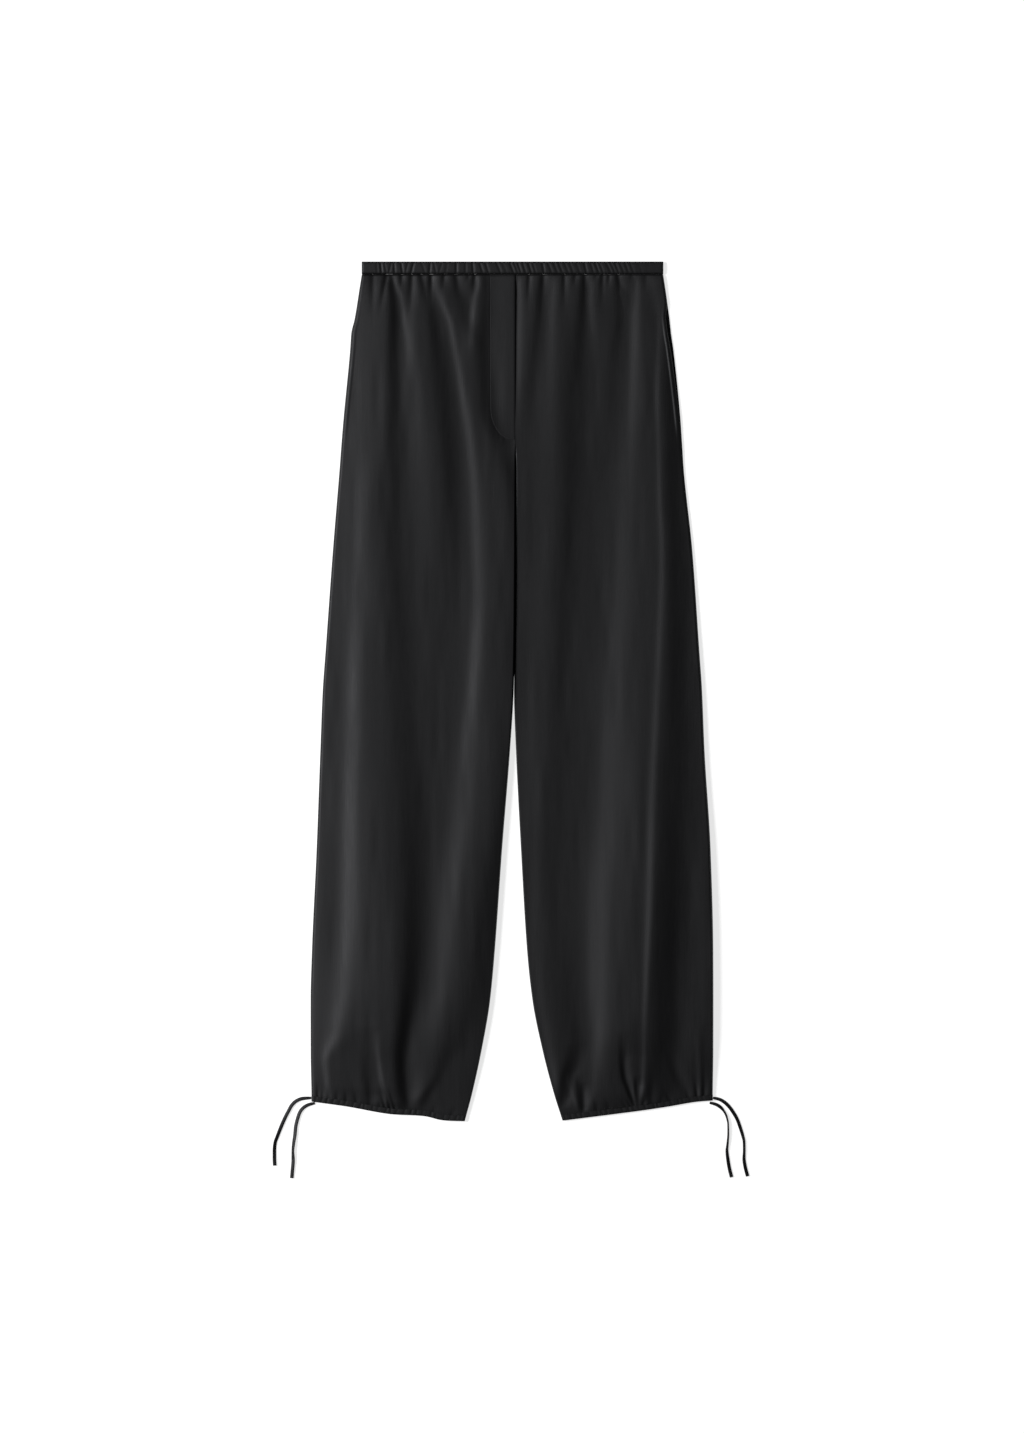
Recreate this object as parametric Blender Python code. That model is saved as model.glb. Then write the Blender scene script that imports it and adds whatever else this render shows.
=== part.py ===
"""Gathered satin trousers with an elastic waist and drawstring hems, laid flat and face up.

The garment lies on z = 0 with its waist towards +Y. Right and left are the wearer's, so the right
leg is at -X. The tables are in millimetres, and MM takes them to metres.
"""

import math
from collections import namedtuple
from functools import cache

import bmesh
import bpy
from mathutils import Vector
from mathutils.bvhtree import BVHTree

MM = 0.001

# Cloth and seams
WALL = 1.0
STEEP_WALL = 1.6
SEAM_GAP = 0.3
CLOTH_COLOUR = (0.020, 0.020, 0.022, 1.0)
CLOTH_ROUGHNESS = 0.45

# Waistband: a flattened casing with elastic inside, ruched on its face
WAIST_TOP = 519.1
BAND_HEIGHT = 15.0
BAND_RUCHES = 46
BAND_BACK_THICK = 2.4
BAND_FRONT_THICK = 2.4
BAND_CROWN = 0.5
BAND_RUCHE_HEIGHT = 0.7
BAND_SLANT = 4.0
BAND_SLANT_FROM = 0.2
BAND_SLANT_GROWS = 0.3
BAND_END = 0.1
BAND_ROWS = 3
BAND_BACK_COLUMNS = 8

# Hem channels, ruched on the drawstring
HEM_INNER_Y = -519.1
HEM_OUTER_Y = -495.3
CHANNEL_HEIGHT = 6.5
CHANNEL_RUCHES = 24
CHANNEL_BACK_THICK = 2.2
CHANNEL_FRONT_THICK = 2.4
CHANNEL_CROWN = 0.3
CHANNEL_RUCHE_HEIGHT = 0.5
CHANNEL_ROWS = 2
CHANNEL_BACK_COLUMNS = 6

# How high the upper cloth stands over the back, from the waist seam (0) down to the hem (1). It rolls
# down to the back at the sides, and below the crotch at the inner edges too.
EDGE_ROLL = 5.0
SIDE_SLOPE = 15.0
INNER_SLOPE = 8.0
CROTCH_TOP = 292.0
CROTCH_BOTTOM = 262.0
LEAST_LIFT = 0.3
Loft = namedtuple("Loft", "down height")
LOFTS = (Loft(0, 2.0), Loft(0.06, 3.4), Loft(0.5, 4.0), Loft(0.9, 6.0), Loft(1, 3.0))
SAGS = (Loft(0, 0), Loft(0.025, 3.2), Loft(0.3, 3.4), Loft(0.5, 2.2), Loft(0.8, 1.2), Loft(1, 0))

# Grid of the front legs
FRONT_COLUMNS = 48
FRONT_ROWS = (0, 0.006, 0.014, 0.024, 0.036, 0.052, 0.075, 0.105, 0.15, 0.21, 0.28, 0.35, 0.43, 0.52,
              0.61, 0.7, 0.77, 0.83, 0.875, 0.91, 0.935, 0.955, 0.971, 0.983, 0.992, 1)
BACK_COLUMNS = 6
BACK_ROWS = 14

# Fly, whose right edge laps over the centre seam
FLY_LEFT = -26.7
FLY_RIGHT = 4.2
FLY_TIP = 3.5
FLY_BOTTOM = 303.7
FLY_CORNER = 40.0
FLY_MARGIN = 5.0
FLY_COLUMNS = 5
FLY_ROWS = 18
FLY_SPACING = 0.8
ABOVE_ALL = 100.0

# Pocket facings, under the front's side edge
POCKET_TOP = 473.0
POCKET_BOTTOM = 300.0
FACING_WIDTH = 16.0
FACING_MARGIN = 14.0
FACING_ROWS = 8
GAPE_OPENS = 0.15
GAPE_CLOSES = 0.8

# Ties: narrow flat strips, here as tubes as thick as the strip is wide
TIE_WIDTH = 3.8

Station = namedtuple("Station", "y right_side right_inner left_inner left_side")
OUTLINE = (
    Station(504.0, -181.7, 3.45, 3.75, 182.9),
    Station(449.0, -190.6, 3.45, 3.75, 190.6),
    Station(433.0, -194.4, 3.45, 3.75, 192.3),
    Station(413.0, -195.8, 3.45, 3.75, 195.2),
    Station(328.0, -203.9, 3.35, 3.65, 203.8),
    Station(267.0, -208.7, 4.60, 4.90, 207.8),
    Station(171.0, -216.6, 4.30, 4.60, 218.0),
    Station(50.0, -225.4, 3.20, 3.50, 226.5),
    Station(0.0, -229.0, 2.00, 2.50, 229.9),
    Station(-71.0, -231.8, -2.4, 4.8, 232.8),
    Station(-192.0, -236.4, -12.1, 10.9, 240.2),
    Station(-313.0, -242.0, -20.8, 18.2, 243.4),
    Station(-374.0, -243.6, -26.6, 24.8, 243.6),
    Station(-434.0, -243.5, -36.9, 36.9, 243.5),
    Station(-489.0, -242.5, -49.0, 51.4, 242.8),
    Station(-520.0, -242.0, -57.4, 61.4, 242.6),
)

# Folds of the front cloth. A row gives y, the height of the fold's flat top there, the x at the middle
# of its left and right flanks, and how soft each flank is. A negative height is a valley.
Fold = namedtuple("Fold", "y height left left_soft right right_soft")
RIGHT_FOLDS = {
    "side": (
        Fold(504, 0, -174, 20, -147, 3),
        Fold(491, 1.4, -174, 20, -146.5, 3.5),
        Fold(473, 2.3, -175, 22, -143.5, 4.5),
        Fold(449, 3.2, -175, 26, -142, 5),
        Fold(413, 3.5, -174, 26, -143, 6.5),
        Fold(352, 3.4, -171, 22, -143, 8),
        Fold(292, 3.2, -175, 18, -143, 10),
        Fold(231, 3.1, -183, 14, -143, 12),
        Fold(110, 3.4, -189.5, 11.5, -138, 14),
        Fold(-11, 3.9, -192, 11.5, -132, 18),
        Fold(-132, 5, -195.5, 10.5, -125, 20),
        Fold(-253, 5.8, -197, 12, -120.5, 15),
        Fold(-350, 5.8, -203.5, 13, -123, 10.5),
        Fold(-410, 4.6, -214.5, 11, -131, 7.5),
        Fold(-446, 2.8, -226.5, 4.6, -137, 6),
        Fold(-477, 2.1, -223.5, 3.2, -135, 5.5),
        Fold(-503, 0, -221, 3, -133, 4),
    ),
    "hip_slope": (
        Fold(504, 0, -240, 12, -95, 40),
        Fold(473, 2.8, -240, 12, -95, 40),
        Fold(394, 3.4, -240, 12, -92, 40),
        Fold(267, 3, -240, 12, -85, 40),
        Fold(171, 2, -240, 12, -85, 40),
        Fold(50, 0.7, -240, 12, -85, 40),
        Fold(-71, 0, -240, 12, -85, 40),
    ),
    "side_slope": (
        Fold(-100, 0, -178, 16, -126, 20),
        Fold(-253, 1.6, -170, 20, -120.5, 15),
        Fold(-350, 2.6, -168, 20, -123, 10.5),
        Fold(-410, 2.9, -170, 20, -131, 7),
        Fold(-446, 3.2, -182, 20, -134, 4.4),
        Fold(-477, 3.2, -178, 18, -132, 4),
        Fold(-495, 2.4, -172, 14, -129.5, 3.5),
        Fold(-507, 0, -168, 12, -128, 3.5),
    ),
    "hem_dent": (
        Fold(-405, 0, -184, 8, -162, 4),
        Fold(-430, -1.1, -182, 8, -162.5, 3),
        Fold(-450, -1.9, -179, 7, -160.5, 3),
        Fold(-470, -2.4, -176, 6, -158, 3),
        Fold(-485, -2.3, -173, 5, -154, 3),
        Fold(-502, 0, -168, 4, -149, 3),
    ),
    "pleat_beside": (
        Fold(504, 0, -118, 5, -104, 4),
        Fold(491, 0.6, -118, 5.5, -102.5, 4.5),
        Fold(473, 0.9, -119, 7, -99.5, 5.5),
        Fold(449, 1.9, -125, 9.5, -96, 6),
        Fold(413, 2.7, -124, 10.5, -90, 8),
        Fold(352, 3, -117.5, 14, -82, 9.5),
        Fold(292, 2.7, -111, 15, -77.5, 8.5),
        Fold(231, 1.9, -108, 15, -74.5, 9),
        Fold(110, 0.7, -100, 16, -74.5, 11),
        Fold(-11, 0, -96, 18, -74, 15),
    ),
    "long_diagonal": (
        Fold(504, 0, -88, 4, -70, 4),
        Fold(491, 0.6, -89, 5, -68, 5),
        Fold(473, 1.6, -85.5, 4.8, -62, 7),
        Fold(449, 1.7, -76.5, 4, -56, 8),
        Fold(413, 1.7, -69, 4.4, -38, 9),
        Fold(352, 2.1, -59, 5.2, -30, 9),
        Fold(292, 2.4, -50, 6.8, -12, 9),
        Fold(231, 2.7, -44.5, 7.6, 8, 9),
        Fold(110, 3.2, -41, 8, 20, 9),
        Fold(-11, 3.8, -48, 9.5, 14, 10),
        Fold(-132, 4.2, -58.5, 15, -2, 11),
        Fold(-253, 4.6, -76.5, 14, -22, 15),
        Fold(-350, 4.1, -84, 16, -38, 18),
        Fold(-410, 3.2, -99, 17, -62, 18),
        Fold(-446, 2.3, -105, 18, -84, 10),
        Fold(-462, 2, -109, 16, -90, 7),
        Fold(-477, 2.1, -114, 13, -97, 5.5),
        Fold(-490, 2.2, -118, 9, -105, 5),
        Fold(-507, 0, -120, 6, -111, 5),
    ),
    "beside_fly": (
        Fold(504, 0, -40, 3, -33, 3),
        Fold(491, 0.9, -41, 3.2, -31.5, 5),
        Fold(473, 1.1, -45.5, 3.5, -31.5, 6),
        Fold(449, 1.9, -48.5, 4, -33, 8),
        Fold(425, 1.6, -49.5, 4.6, -35, 8),
        Fold(405, 0.5, -51, 6, -36, 8),
        Fold(385, 0, -52, 7, -36, 8),
    ),
    "hem_valley": (
        Fold(-330, 0, -127, 7, -112, 9),
        Fold(-386, -0.7, -131, 6, -114, 9),
        Fold(-434, -0.7, -138, 4, -119, 8),
        Fold(-477, -0.7, -137, 3, -118, 8),
        Fold(-495, -0.5, -133, 3, -117, 7),
        Fold(-509, 0, -131, 3, -117, 7),
    ),
}
LEFT_FOLDS = {
    "beside_fly": (
        Fold(504, 0, 9.5, 3, 36, 3.5),
        Fold(491, 0.8, 9, 3, 36, 3.5),
        Fold(473, 1, 9, 3.5, 34.5, 4),
        Fold(449, 1.2, 8.5, 4, 31.5, 4.5),
        Fold(425, 1.2, 8, 4, 28.5, 5.5),
        Fold(388, 1, 8, 4, 25, 6.5),
        Fold(340, 0.4, 8, 4, 20, 7),
        Fold(300, 0, 8, 5, 20, 7),
    ),
    "front_slope": (
        Fold(504, 0, -30, 8, 55, 35),
        Fold(473, 2, -30, 8, 55, 35),
        Fold(340, 2.8, -30, 8, 55, 35),
        Fold(267, 2.7, -30, 8, 52, 32),
        Fold(171, 2.1, -30, 8, 48, 30),
        Fold(50, 1.2, -30, 8, 42, 26),
        Fold(-71, 0, -30, 8, 40, 24),
    ),
    "inner_pleat": (
        Fold(504, 0, 51, 4, 88, 3.5),
        Fold(491, 1.3, 50.5, 5, 88, 4),
        Fold(473, 1.9, 49, 5.5, 86, 4.5),
        Fold(449, 2.2, 47.5, 6.5, 84, 5.5),
        Fold(425, 2.3, 47, 8, 82, 6.5),
        Fold(388, 2.4, 47, 11, 78.5, 8),
        Fold(352, 2.4, 46, 14, 76, 8.5),
        Fold(292, 2.3, 42, 17, 75, 9),
        Fold(231, 2.2, 40, 18, 72.5, 9),
        Fold(171, 2, 38, 18, 68, 9.5),
        Fold(50, 1.5, 31, 15, 60, 11),
        Fold(-71, 1.4, 24, 12, 52, 13),
        Fold(-192, 1.5, 25, 10, 48, 13),
        Fold(-313, 1.5, 30, 9, 56, 15),
        Fold(-386, 1.5, 37, 7, 67, 14),
        Fold(-434, 2, 45, 7, 75, 9),
        Fold(-468, 2.7, 51, 5, 69, 6),
        Fold(-500, 0, 58, 4, 68, 4),
    ),
    "middle_pleat": (
        Fold(504, 0, 98, 3.5, 129, 3),
        Fold(491, 0.8, 96.5, 4, 129, 3.5),
        Fold(473, 1.5, 95, 4.5, 130.5, 5),
        Fold(449, 1.7, 96.5, 6, 130, 5),
        Fold(425, 1.3, 100, 6.5, 127, 6),
        Fold(388, 0.8, 103, 7, 122, 7),
        Fold(340, 0.6, 103, 8, 120, 8),
        Fold(280, 0, 103, 9, 118, 9),
    ),
    "long_ridge": (
        Fold(504, 0, 151.5, 3, 200, 6),
        Fold(491, 1.2, 151.5, 4, 200, 6),
        Fold(473, 2, 150.5, 6, 202, 6),
        Fold(449, 2.6, 149, 7, 202, 6),
        Fold(413, 3, 148, 7.5, 200, 7),
        Fold(352, 3.3, 146, 9, 199, 9),
        Fold(292, 3.5, 142.5, 11, 198, 11),
        Fold(231, 3.8, 140, 14, 199, 12),
        Fold(110, 4.4, 130.5, 18, 203, 14),
        Fold(-11, 4.9, 122, 20, 198, 16),
        Fold(-132, 5.7, 114, 20, 192, 20),
        Fold(-253, 6.5, 106.5, 17, 188, 18),
        Fold(-350, 6.3, 104.5, 14, 184, 16),
        Fold(-410, 5.8, 105, 12, 184, 14),
        Fold(-446, 4.6, 102, 11, 183, 14),
        Fold(-477, 3, 98, 9, 182, 12),
        Fold(-495, 1.7, 94.5, 6, 180, 9),
        Fold(-507, 0, 92, 5, 178, 8),
    ),
    "side_crease": (
        Fold(504, 0, 171, 8, 200, 5),
        Fold(491, 1.3, 171, 8, 200, 5),
        Fold(473, 1.2, 175, 7, 200, 5),
        Fold(449, 0.7, 180, 4, 198, 4.5),
        Fold(413, 0.7, 178.5, 3, 190, 5),
        Fold(352, 0.8, 176, 3.2, 189, 5),
        Fold(292, 1, 177, 3.2, 190, 7),
        Fold(231, 1.1, 178, 3.4, 193, 8),
        Fold(171, 1.3, 181, 4, 198, 9),
        Fold(110, 1.3, 179.5, 4, 198, 10),
        Fold(-11, 1.9, 174.5, 5, 206, 18),
        Fold(-132, 2.4, 168.5, 5.8, 206, 20),
        Fold(-253, 2.9, 165, 5.2, 202, 20),
        Fold(-350, 2.2, 161, 4.2, 188, 14),
        Fold(-410, 1.4, 159, 3.2, 180, 12),
        Fold(-446, 1.4, 158.5, 3, 172, 8),
        Fold(-477, 1.4, 157, 3, 166, 5),
        Fold(-501, 0, 153, 3, 159, 3.5),
    ),
    "ridge_slope": (
        Fold(200, 0, 152, 16, 192, 14),
        Fold(50, 1.1, 147, 16, 204, 16),
        Fold(-71, 1.9, 144, 18, 204, 18),
        Fold(-253, 2.3, 139, 17, 204, 18),
        Fold(-386, 2, 134, 16, 200, 16),
        Fold(-440, 0, 124, 12, 184, 14),
    ),
    "outer_swell": (
        Fold(360, 0, 194, 12, 300, 12),
        Fold(231, 1.8, 200, 14, 300, 12),
        Fold(110, 3, 207, 17, 300, 12),
        Fold(-11, 3.8, 211, 20, 300, 12),
        Fold(-132, 4.6, 213, 23, 300, 12),
        Fold(-313, 5.2, 212, 24, 300, 12),
        Fold(-410, 4.4, 208, 22, 300, 12),
        Fold(-495, 0, 204, 18, 300, 12),
    ),
    "inner_valley": (
        Fold(-425, 0, 72, 5, 88, 8),
        Fold(-446, -1.2, 68, 5, 82, 8),
        Fold(-468, -2, 62, 4.5, 74, 6),
        Fold(-490, -1.9, 59, 4, 70, 4.5),
        Fold(-505, 0, 58, 3.5, 67, 4),
    ),
    "fan_valley": (
        Fold(-410, 0, 129, 4, 140, 8),
        Fold(-432, -1.1, 131.5, 3, 140, 6),
        Fold(-450, -2.1, 132, 3, 139.5, 4.5),
        Fold(-466, -2.6, 134, 3, 141, 4),
        Fold(-482, -2.6, 139.5, 3, 145, 3.2),
        Fold(-497, -2.3, 145, 3, 149, 3),
        Fold(-507, 0, 147.5, 3, 150.5, 3),
    ),
    "outer_valley": (
        Fold(-430, 0, 186, 4, 197, 6),
        Fold(-452, -0.9, 191, 4, 202, 6),
        Fold(-474, -1.1, 200, 4, 211, 5),
        Fold(-495, 0, 209, 4, 218, 4),
    ),
    "outer_pleat": (
        Fold(-395, 0, 221, 3.5, 229, 4),
        Fold(-430, 0.7, 223, 3.2, 229, 3),
        Fold(-460, 0.9, 225, 3.2, 230, 3),
        Fold(-482, 0.8, 226, 3, 231, 3),
        Fold(-498, 0, 226, 3, 231, 3),
    ),
}

# Gathers: the crest's x on the seam, and how far the gather runs into the leg
Gather = namedtuple("Gather", "x height reach")
RIGHT_WAIST_GATHERS = (
    Gather(-175, 0.9, 26), Gather(-160, 1.4, 30), Gather(-149, 1.3, 26), Gather(-139, 1.1, 20),
    Gather(-128, 1.4, 26), Gather(-116, 1.4, 30), Gather(-104, 1.2, 24), Gather(-90, 1.5, 28),
    Gather(-74, 1.3, 28), Gather(-59, 1.0, 20), Gather(-48, 1.0, 20), Gather(-38, 1.2, 30),
)
LEFT_WAIST_GATHERS = (
    Gather(12, 1.2, 30), Gather(29, 1.4, 34), Gather(50, 1.4, 30), Gather(71, 1.3, 28),
    Gather(83, 1.2, 26), Gather(95, 1.4, 30), Gather(106, 1.1, 22), Gather(115, 1.2, 24),
    Gather(123, 1.3, 26), Gather(136, 1.1, 26), Gather(153, 1.2, 30), Gather(172, 0.7, 22),
)
RIGHT_HEM_GATHERS = (
    Gather(-238, 0.7, 16), Gather(-225, 1.4, 34), Gather(-216, 1.0, 22), Gather(-206, 1.1, 24),
    Gather(-194, 1.2, 28), Gather(-180, 1.1, 26), Gather(-165, 1.2, 26), Gather(-156, 1.5, 30),
    Gather(-150, 1.3, 20), Gather(-144, 1.3, 18), Gather(-124, 1.3, 30), Gather(-109, 0.8, 20),
    Gather(-84, 0.7, 16),
)
LEFT_HEM_GATHERS = (
    Gather(75, 1.2, 26), Gather(94, 1.4, 30), Gather(110, 1.2, 26), Gather(128, 1.2, 26),
    Gather(141, 1.4, 24), Gather(151, 1.5, 26), Gather(163, 1.3, 30), Gather(174, 1.0, 26),
    Gather(186, 0.9, 22), Gather(202, 0.9, 22), Gather(218, 1.2, 24), Gather(227, 1.5, 34),
    Gather(236, 0.9, 20),
)

# What differs between the legs. A share is the height of the rounded edge as a part of the height
# behind it, the sag is how much of SAGS the leg has, and the bow is how far the hem hangs below a
# straight line, from its side (1) to its inner end (0).
Leg = namedtuple("Leg", "side folds waist_gathers hem_gathers pocket_gape waist_share hem_share "
                        "inner_share sag hem_bow")
LEGS = (
    Leg(side="right", folds=RIGHT_FOLDS, waist_gathers=RIGHT_WAIST_GATHERS,
        hem_gathers=RIGHT_HEM_GATHERS, pocket_gape=1.2, waist_share=0.97, hem_share=0.58,
        inner_share=0.92, sag=0.0,
        hem_bow=((1, 1.0), (0.8, 1.3), (0.5, 3.9), (0.26, 1.1), (0.15, 3.2), (0, 1.0))),
    Leg(side="left", folds=LEFT_FOLDS, waist_gathers=LEFT_WAIST_GATHERS,
        hem_gathers=LEFT_HEM_GATHERS, pocket_gape=4.6, waist_share=0.96, hem_share=0.96,
        inner_share=1.0, sag=1.0,
        hem_bow=((1, -0.3), (0.88, -1.3), (0.7, 0.0), (0.5, 0.6), (0, 0.3))),
)

# Routes of the ties, from the hem outwards, as x and y on the surface that the garment lies on
TIES = {
    "right_tie_upper": (
        (-242.9, -492.2), (-252.9, -492.9), (-260.2, -495.5), (-266.2, -500.9), (-270.4, -508.2),
        (-275.3, -517.9), (-279.5, -527.6), (-283.7, -538.5), (-286.5, -546.5), (-287.4, -555.4),
        (-287.4, -565.1), (-287.0, -574.1),
    ),
    "right_tie_lower": (
        (-238.4, -498.5), (-245.4, -500.2), (-251.7, -503.6), (-256.5, -509.4), (-259.5, -517.9),
        (-261.7, -527.6), (-262.6, -537.2), (-264.1, -546.9), (-265.0, -556.6), (-264.7, -567.5),
        (-265.6, -579.6), (-266.4, -589.3),
    ),
    "left_tie_upper": (
        (243.2, -492.2), (250.4, -493.8), (256.6, -497.2), (262.6, -502.8), (267.4, -509.4),
        (272.3, -517.9), (275.9, -527.6), (278.9, -537.2), (280.7, -545.4), (280.9, -555.4),
        (280.6, -565.1), (281.9, -574.8), (285.0, -586.9),
    ),
    "left_tie_lower": (
        (239.2, -498.1), (246.4, -500.0), (252.4, -503.6), (256.6, -508.6), (259.6, -514.9),
        (261.4, -523.9), (261.6, -534.8), (260.8, -546.9), (260.0, -555.4), (261.1, -566.3),
        (262.9, -577.2), (265.6, -588.1),
    ),
}
TIE_Z = TIE_WIDTH / 2 + 0.05


def curve(places, values, at):
    """A smooth curve through the values at the places, which run from high to low.

    Each slope is the harmonic mean of its neighbours' slopes, so the curve never overshoots.
    """
    if at >= places[0]:
        return values[0]
    if at <= places[-1]:
        return values[-1]
    i = next(k for k in range(len(places) - 1) if places[k + 1] <= at)

    def chord(k):
        return (values[k + 1] - values[k]) / (places[k + 1] - places[k])

    def slope(k):
        if k == 0:
            return chord(0)
        if k == len(places) - 1:
            return chord(k - 1)
        before, after = chord(k - 1), chord(k)
        return 2 * before * after / (before + after) if before * after > 0 else 0.0

    span = places[i + 1] - places[i]
    t = (at - places[i]) / span
    start = (1 + 2 * t) * (1 - t) ** 2 * values[i] + t * (1 - t) ** 2 * span * slope(i)
    end = t * t * (3 - 2 * t) * values[i + 1] - t * t * (1 - t) * span * slope(i + 1)
    return start + end


def between(rows, column, y):
    """One column's value at y, between the rows of a table."""
    return curve([row.y for row in rows], [getattr(row, column) for row in rows], y)


def blend(a, b, t):
    return a + (b - a) * t


def ease(t):
    """0 to 1 with no slope at either end."""
    t = min(1.0, max(0.0, t))
    return t * t * (3 - 2 * t)


def soft_step(t):
    """0 far to the left and 1 far to the right, half way at 0."""
    return 0.5 + 0.5 * math.tanh(t)


def rounded_edge(away, slope, share):
    """Part of the full height that the cloth has at a distance from its edge: a quarter circle over
    EDGE_ROLL up to the share, and a slope up to the rest that levels off."""
    t = min(1.0, away / EDGE_ROLL)
    return math.sqrt(1 - (1 - t) ** 2) * blend(share, 1.0, 1 - math.exp(-away / slope))


def down_leg(rows, v):
    """A height at v, between the rows of a table."""
    above, below = next(pair for pair in zip(rows, rows[1:]) if v <= pair[1].down)
    return blend(above.height, below.height, ease((v - above.down) / (below.down - above.down)))


def fly_edge(y):
    """x of the fly's stitched edge, which is straight and then curves in to the centre seam."""
    t = (FLY_BOTTOM + FLY_CORNER - y) / FLY_CORNER
    curved = 1 - math.sqrt(max(0.0, 1 - t * t)) if t > 0 else 0.0
    return blend(FLY_LEFT, FLY_RIGHT - FLY_TIP, min(1.0, curved))


def fly_dip(place):
    """The cloth lies lower under the fly by the fly's thickness, so the fly is level with it."""
    from_left = ease((place.x - fly_edge(place.y) + FLY_MARGIN) / FLY_MARGIN)
    from_right = ease((FLY_RIGHT + 2 * FLY_MARGIN - place.x) / FLY_MARGIN)
    from_below = ease((place.y - FLY_BOTTOM + FLY_MARGIN) / FLY_MARGIN)
    return (WALL + SEAM_GAP) * from_left * from_right * from_below


class LegCloth:
    """The cloth of one laid leg. Across it u runs from the inner edge to the side, and down it v runs
    from the waist seam to the hem channel."""

    def __init__(self, leg):
        self.leg = leg
        self.side = leg.side
        self.top = WAIST_TOP - BAND_HEIGHT - SEAM_GAP
        self.channel_rise = CHANNEL_HEIGHT + SEAM_GAP
        self.waist_crests = self.crests_across(leg.waist_gathers, 0.0)
        self.hem_crests = self.crests_across(leg.hem_gathers, 1.0)
        self.waist_columns = self.columns_through(self.waist_crests)
        self.hem_columns = self.columns_through(self.hem_crests)

    def edges(self, v):
        """The points on the inner edge and on the side at v."""
        inner_y = blend(self.top, HEM_INNER_Y + self.channel_rise, v)
        outer_y = blend(self.top, HEM_OUTER_Y + self.channel_rise, v)
        inner = Vector((between(OUTLINE, self.side + "_inner", inner_y), inner_y))
        outer = Vector((between(OUTLINE, self.side + "_side", outer_y), outer_y))
        return inner, outer

    def bow(self, u):
        """How far the hem hangs below the straight line between its ends."""
        places, drops = zip(*self.leg.hem_bow)
        return curve(places, drops, u)

    def place(self, u, v, gape=0.0):
        """The point at u and v, as x and y. The leg takes the hem's bow on its way down."""
        inner, outer = self.edges(v)
        outer.x -= math.copysign(gape, outer.x)
        place = inner.lerp(outer, u)
        place.y -= self.bow(u) * ease(v)
        return place

    def crests_across(self, gathers, v):
        """The gathers as (u, height, reach), from the inner edge to the side."""
        inner, outer = self.edges(v)
        found = [((g.x - inner.x) / (outer.x - inner.x), g.height, g.reach) for g in gathers]
        return sorted(found)

    def columns_through(self, crests):
        """Places across the leg for the grid's lines: a line on each crest and in each trough, and
        the widest spaces halved until there are enough."""
        at = [0.0, *(u for u, _, _ in crests), 1.0]
        places = sorted(set(at + [(a + b) / 2 for a, b in zip(at, at[1:])]))
        while len(places) <= FRONT_COLUMNS:
            widest = max(range(len(places) - 1), key=lambda k: places[k + 1] - places[k])
            places.insert(widest + 1, (places[widest] + places[widest + 1]) / 2)
        return places

    def gather_lift(self, crests, u, below):
        """Height of the gathers that leave a seam, at a distance below it: round crests that fade."""
        ends = [-crests[0][0], *(c[0] for c in crests), 2 - crests[-1][0]]
        for k, (crest, height, reach) in enumerate(crests):
            half = (crest - ends[k] if u < crest else ends[k + 2] - crest) / 2
            if abs(u - crest) < half:
                round_crest = 0.5 + 0.5 * math.cos(math.pi * (u - crest) / half)
                return height * round_crest * math.exp(-((below / reach) ** 1.5))
        return 0.0

    def height(self, u, v):
        """Height of the front cloth's under side."""
        inner, outer = self.edges(v)
        place = self.place(u, v)
        width = abs(outer.x - inner.x)
        from_waist, from_hem = v * (self.top - HEM_INNER_Y), (1 - v) * (self.top - HEM_INNER_Y)
        lift = down_leg(LOFTS, v) - self.leg.sag * down_leg(SAGS, v)
        lift += sum(self.fold_lift(fold, place) for fold in self.leg.folds.values())
        lift += self.gather_lift(self.waist_crests, u, from_waist)
        lift += self.gather_lift(self.hem_crests, u, from_hem)
        share = blend(self.leg.waist_share, self.leg.hem_share, v)
        side_edge = rounded_edge((1 - u) * width, SIDE_SLOPE, share)
        inner_edge = rounded_edge(u * width, INNER_SLOPE, self.leg.inner_share)
        crotch = ease((CROTCH_TOP - place.y) / (CROTCH_TOP - CROTCH_BOTTOM))
        raised = side_edge * blend(1.0, inner_edge, crotch) * max(LEAST_LIFT, lift - fly_dip(place))
        return WALL + SEAM_GAP + math.hypot(raised, self.facing_lift(place.y))

    def fold_lift(self, fold, place):
        """The fold's height, between a soft step up at its left flank and one down at its right."""
        if not fold[-1].y < place.y < fold[0].y:
            return 0.0
        here = Fold(place.y, *(between(fold, name, place.y) for name in Fold._fields[1:]))
        up = soft_step((place.x - here.left) / here.left_soft)
        down = soft_step((place.x - here.right) / here.right_soft)
        return here.height * (up - down)

    def gape(self, y):
        """How far the front's edge stands back in the pocket mouth, most of it near the top."""
        t = (POCKET_TOP - y) / (POCKET_TOP - POCKET_BOTTOM)
        if not 0 < t < 1:
            return 0.0
        return self.leg.pocket_gape * ease(t / GAPE_OPENS) * (1 - t) ** GAPE_CLOSES

    def facing_lift(self, y):
        """The front passes over the pocket facing, so it is higher there."""
        from_top = ease((POCKET_TOP + 2 * FACING_MARGIN - y) / FACING_MARGIN)
        from_bottom = ease((y - POCKET_BOTTOM + 2 * FACING_MARGIN) / FACING_MARGIN)
        return (WALL + SEAM_GAP) * from_top * from_bottom

    @cache
    def front_under(self, column, row):
        """A point of the front's under side, in metres."""
        v = FRONT_ROWS[row]
        u = blend(self.waist_columns[column], self.hem_columns[column], ease(v))
        place = self.place(u, v, self.gape(self.edges(v)[1].y))
        return Vector((place.x, place.y, self.height(u, v))) * MM

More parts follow.
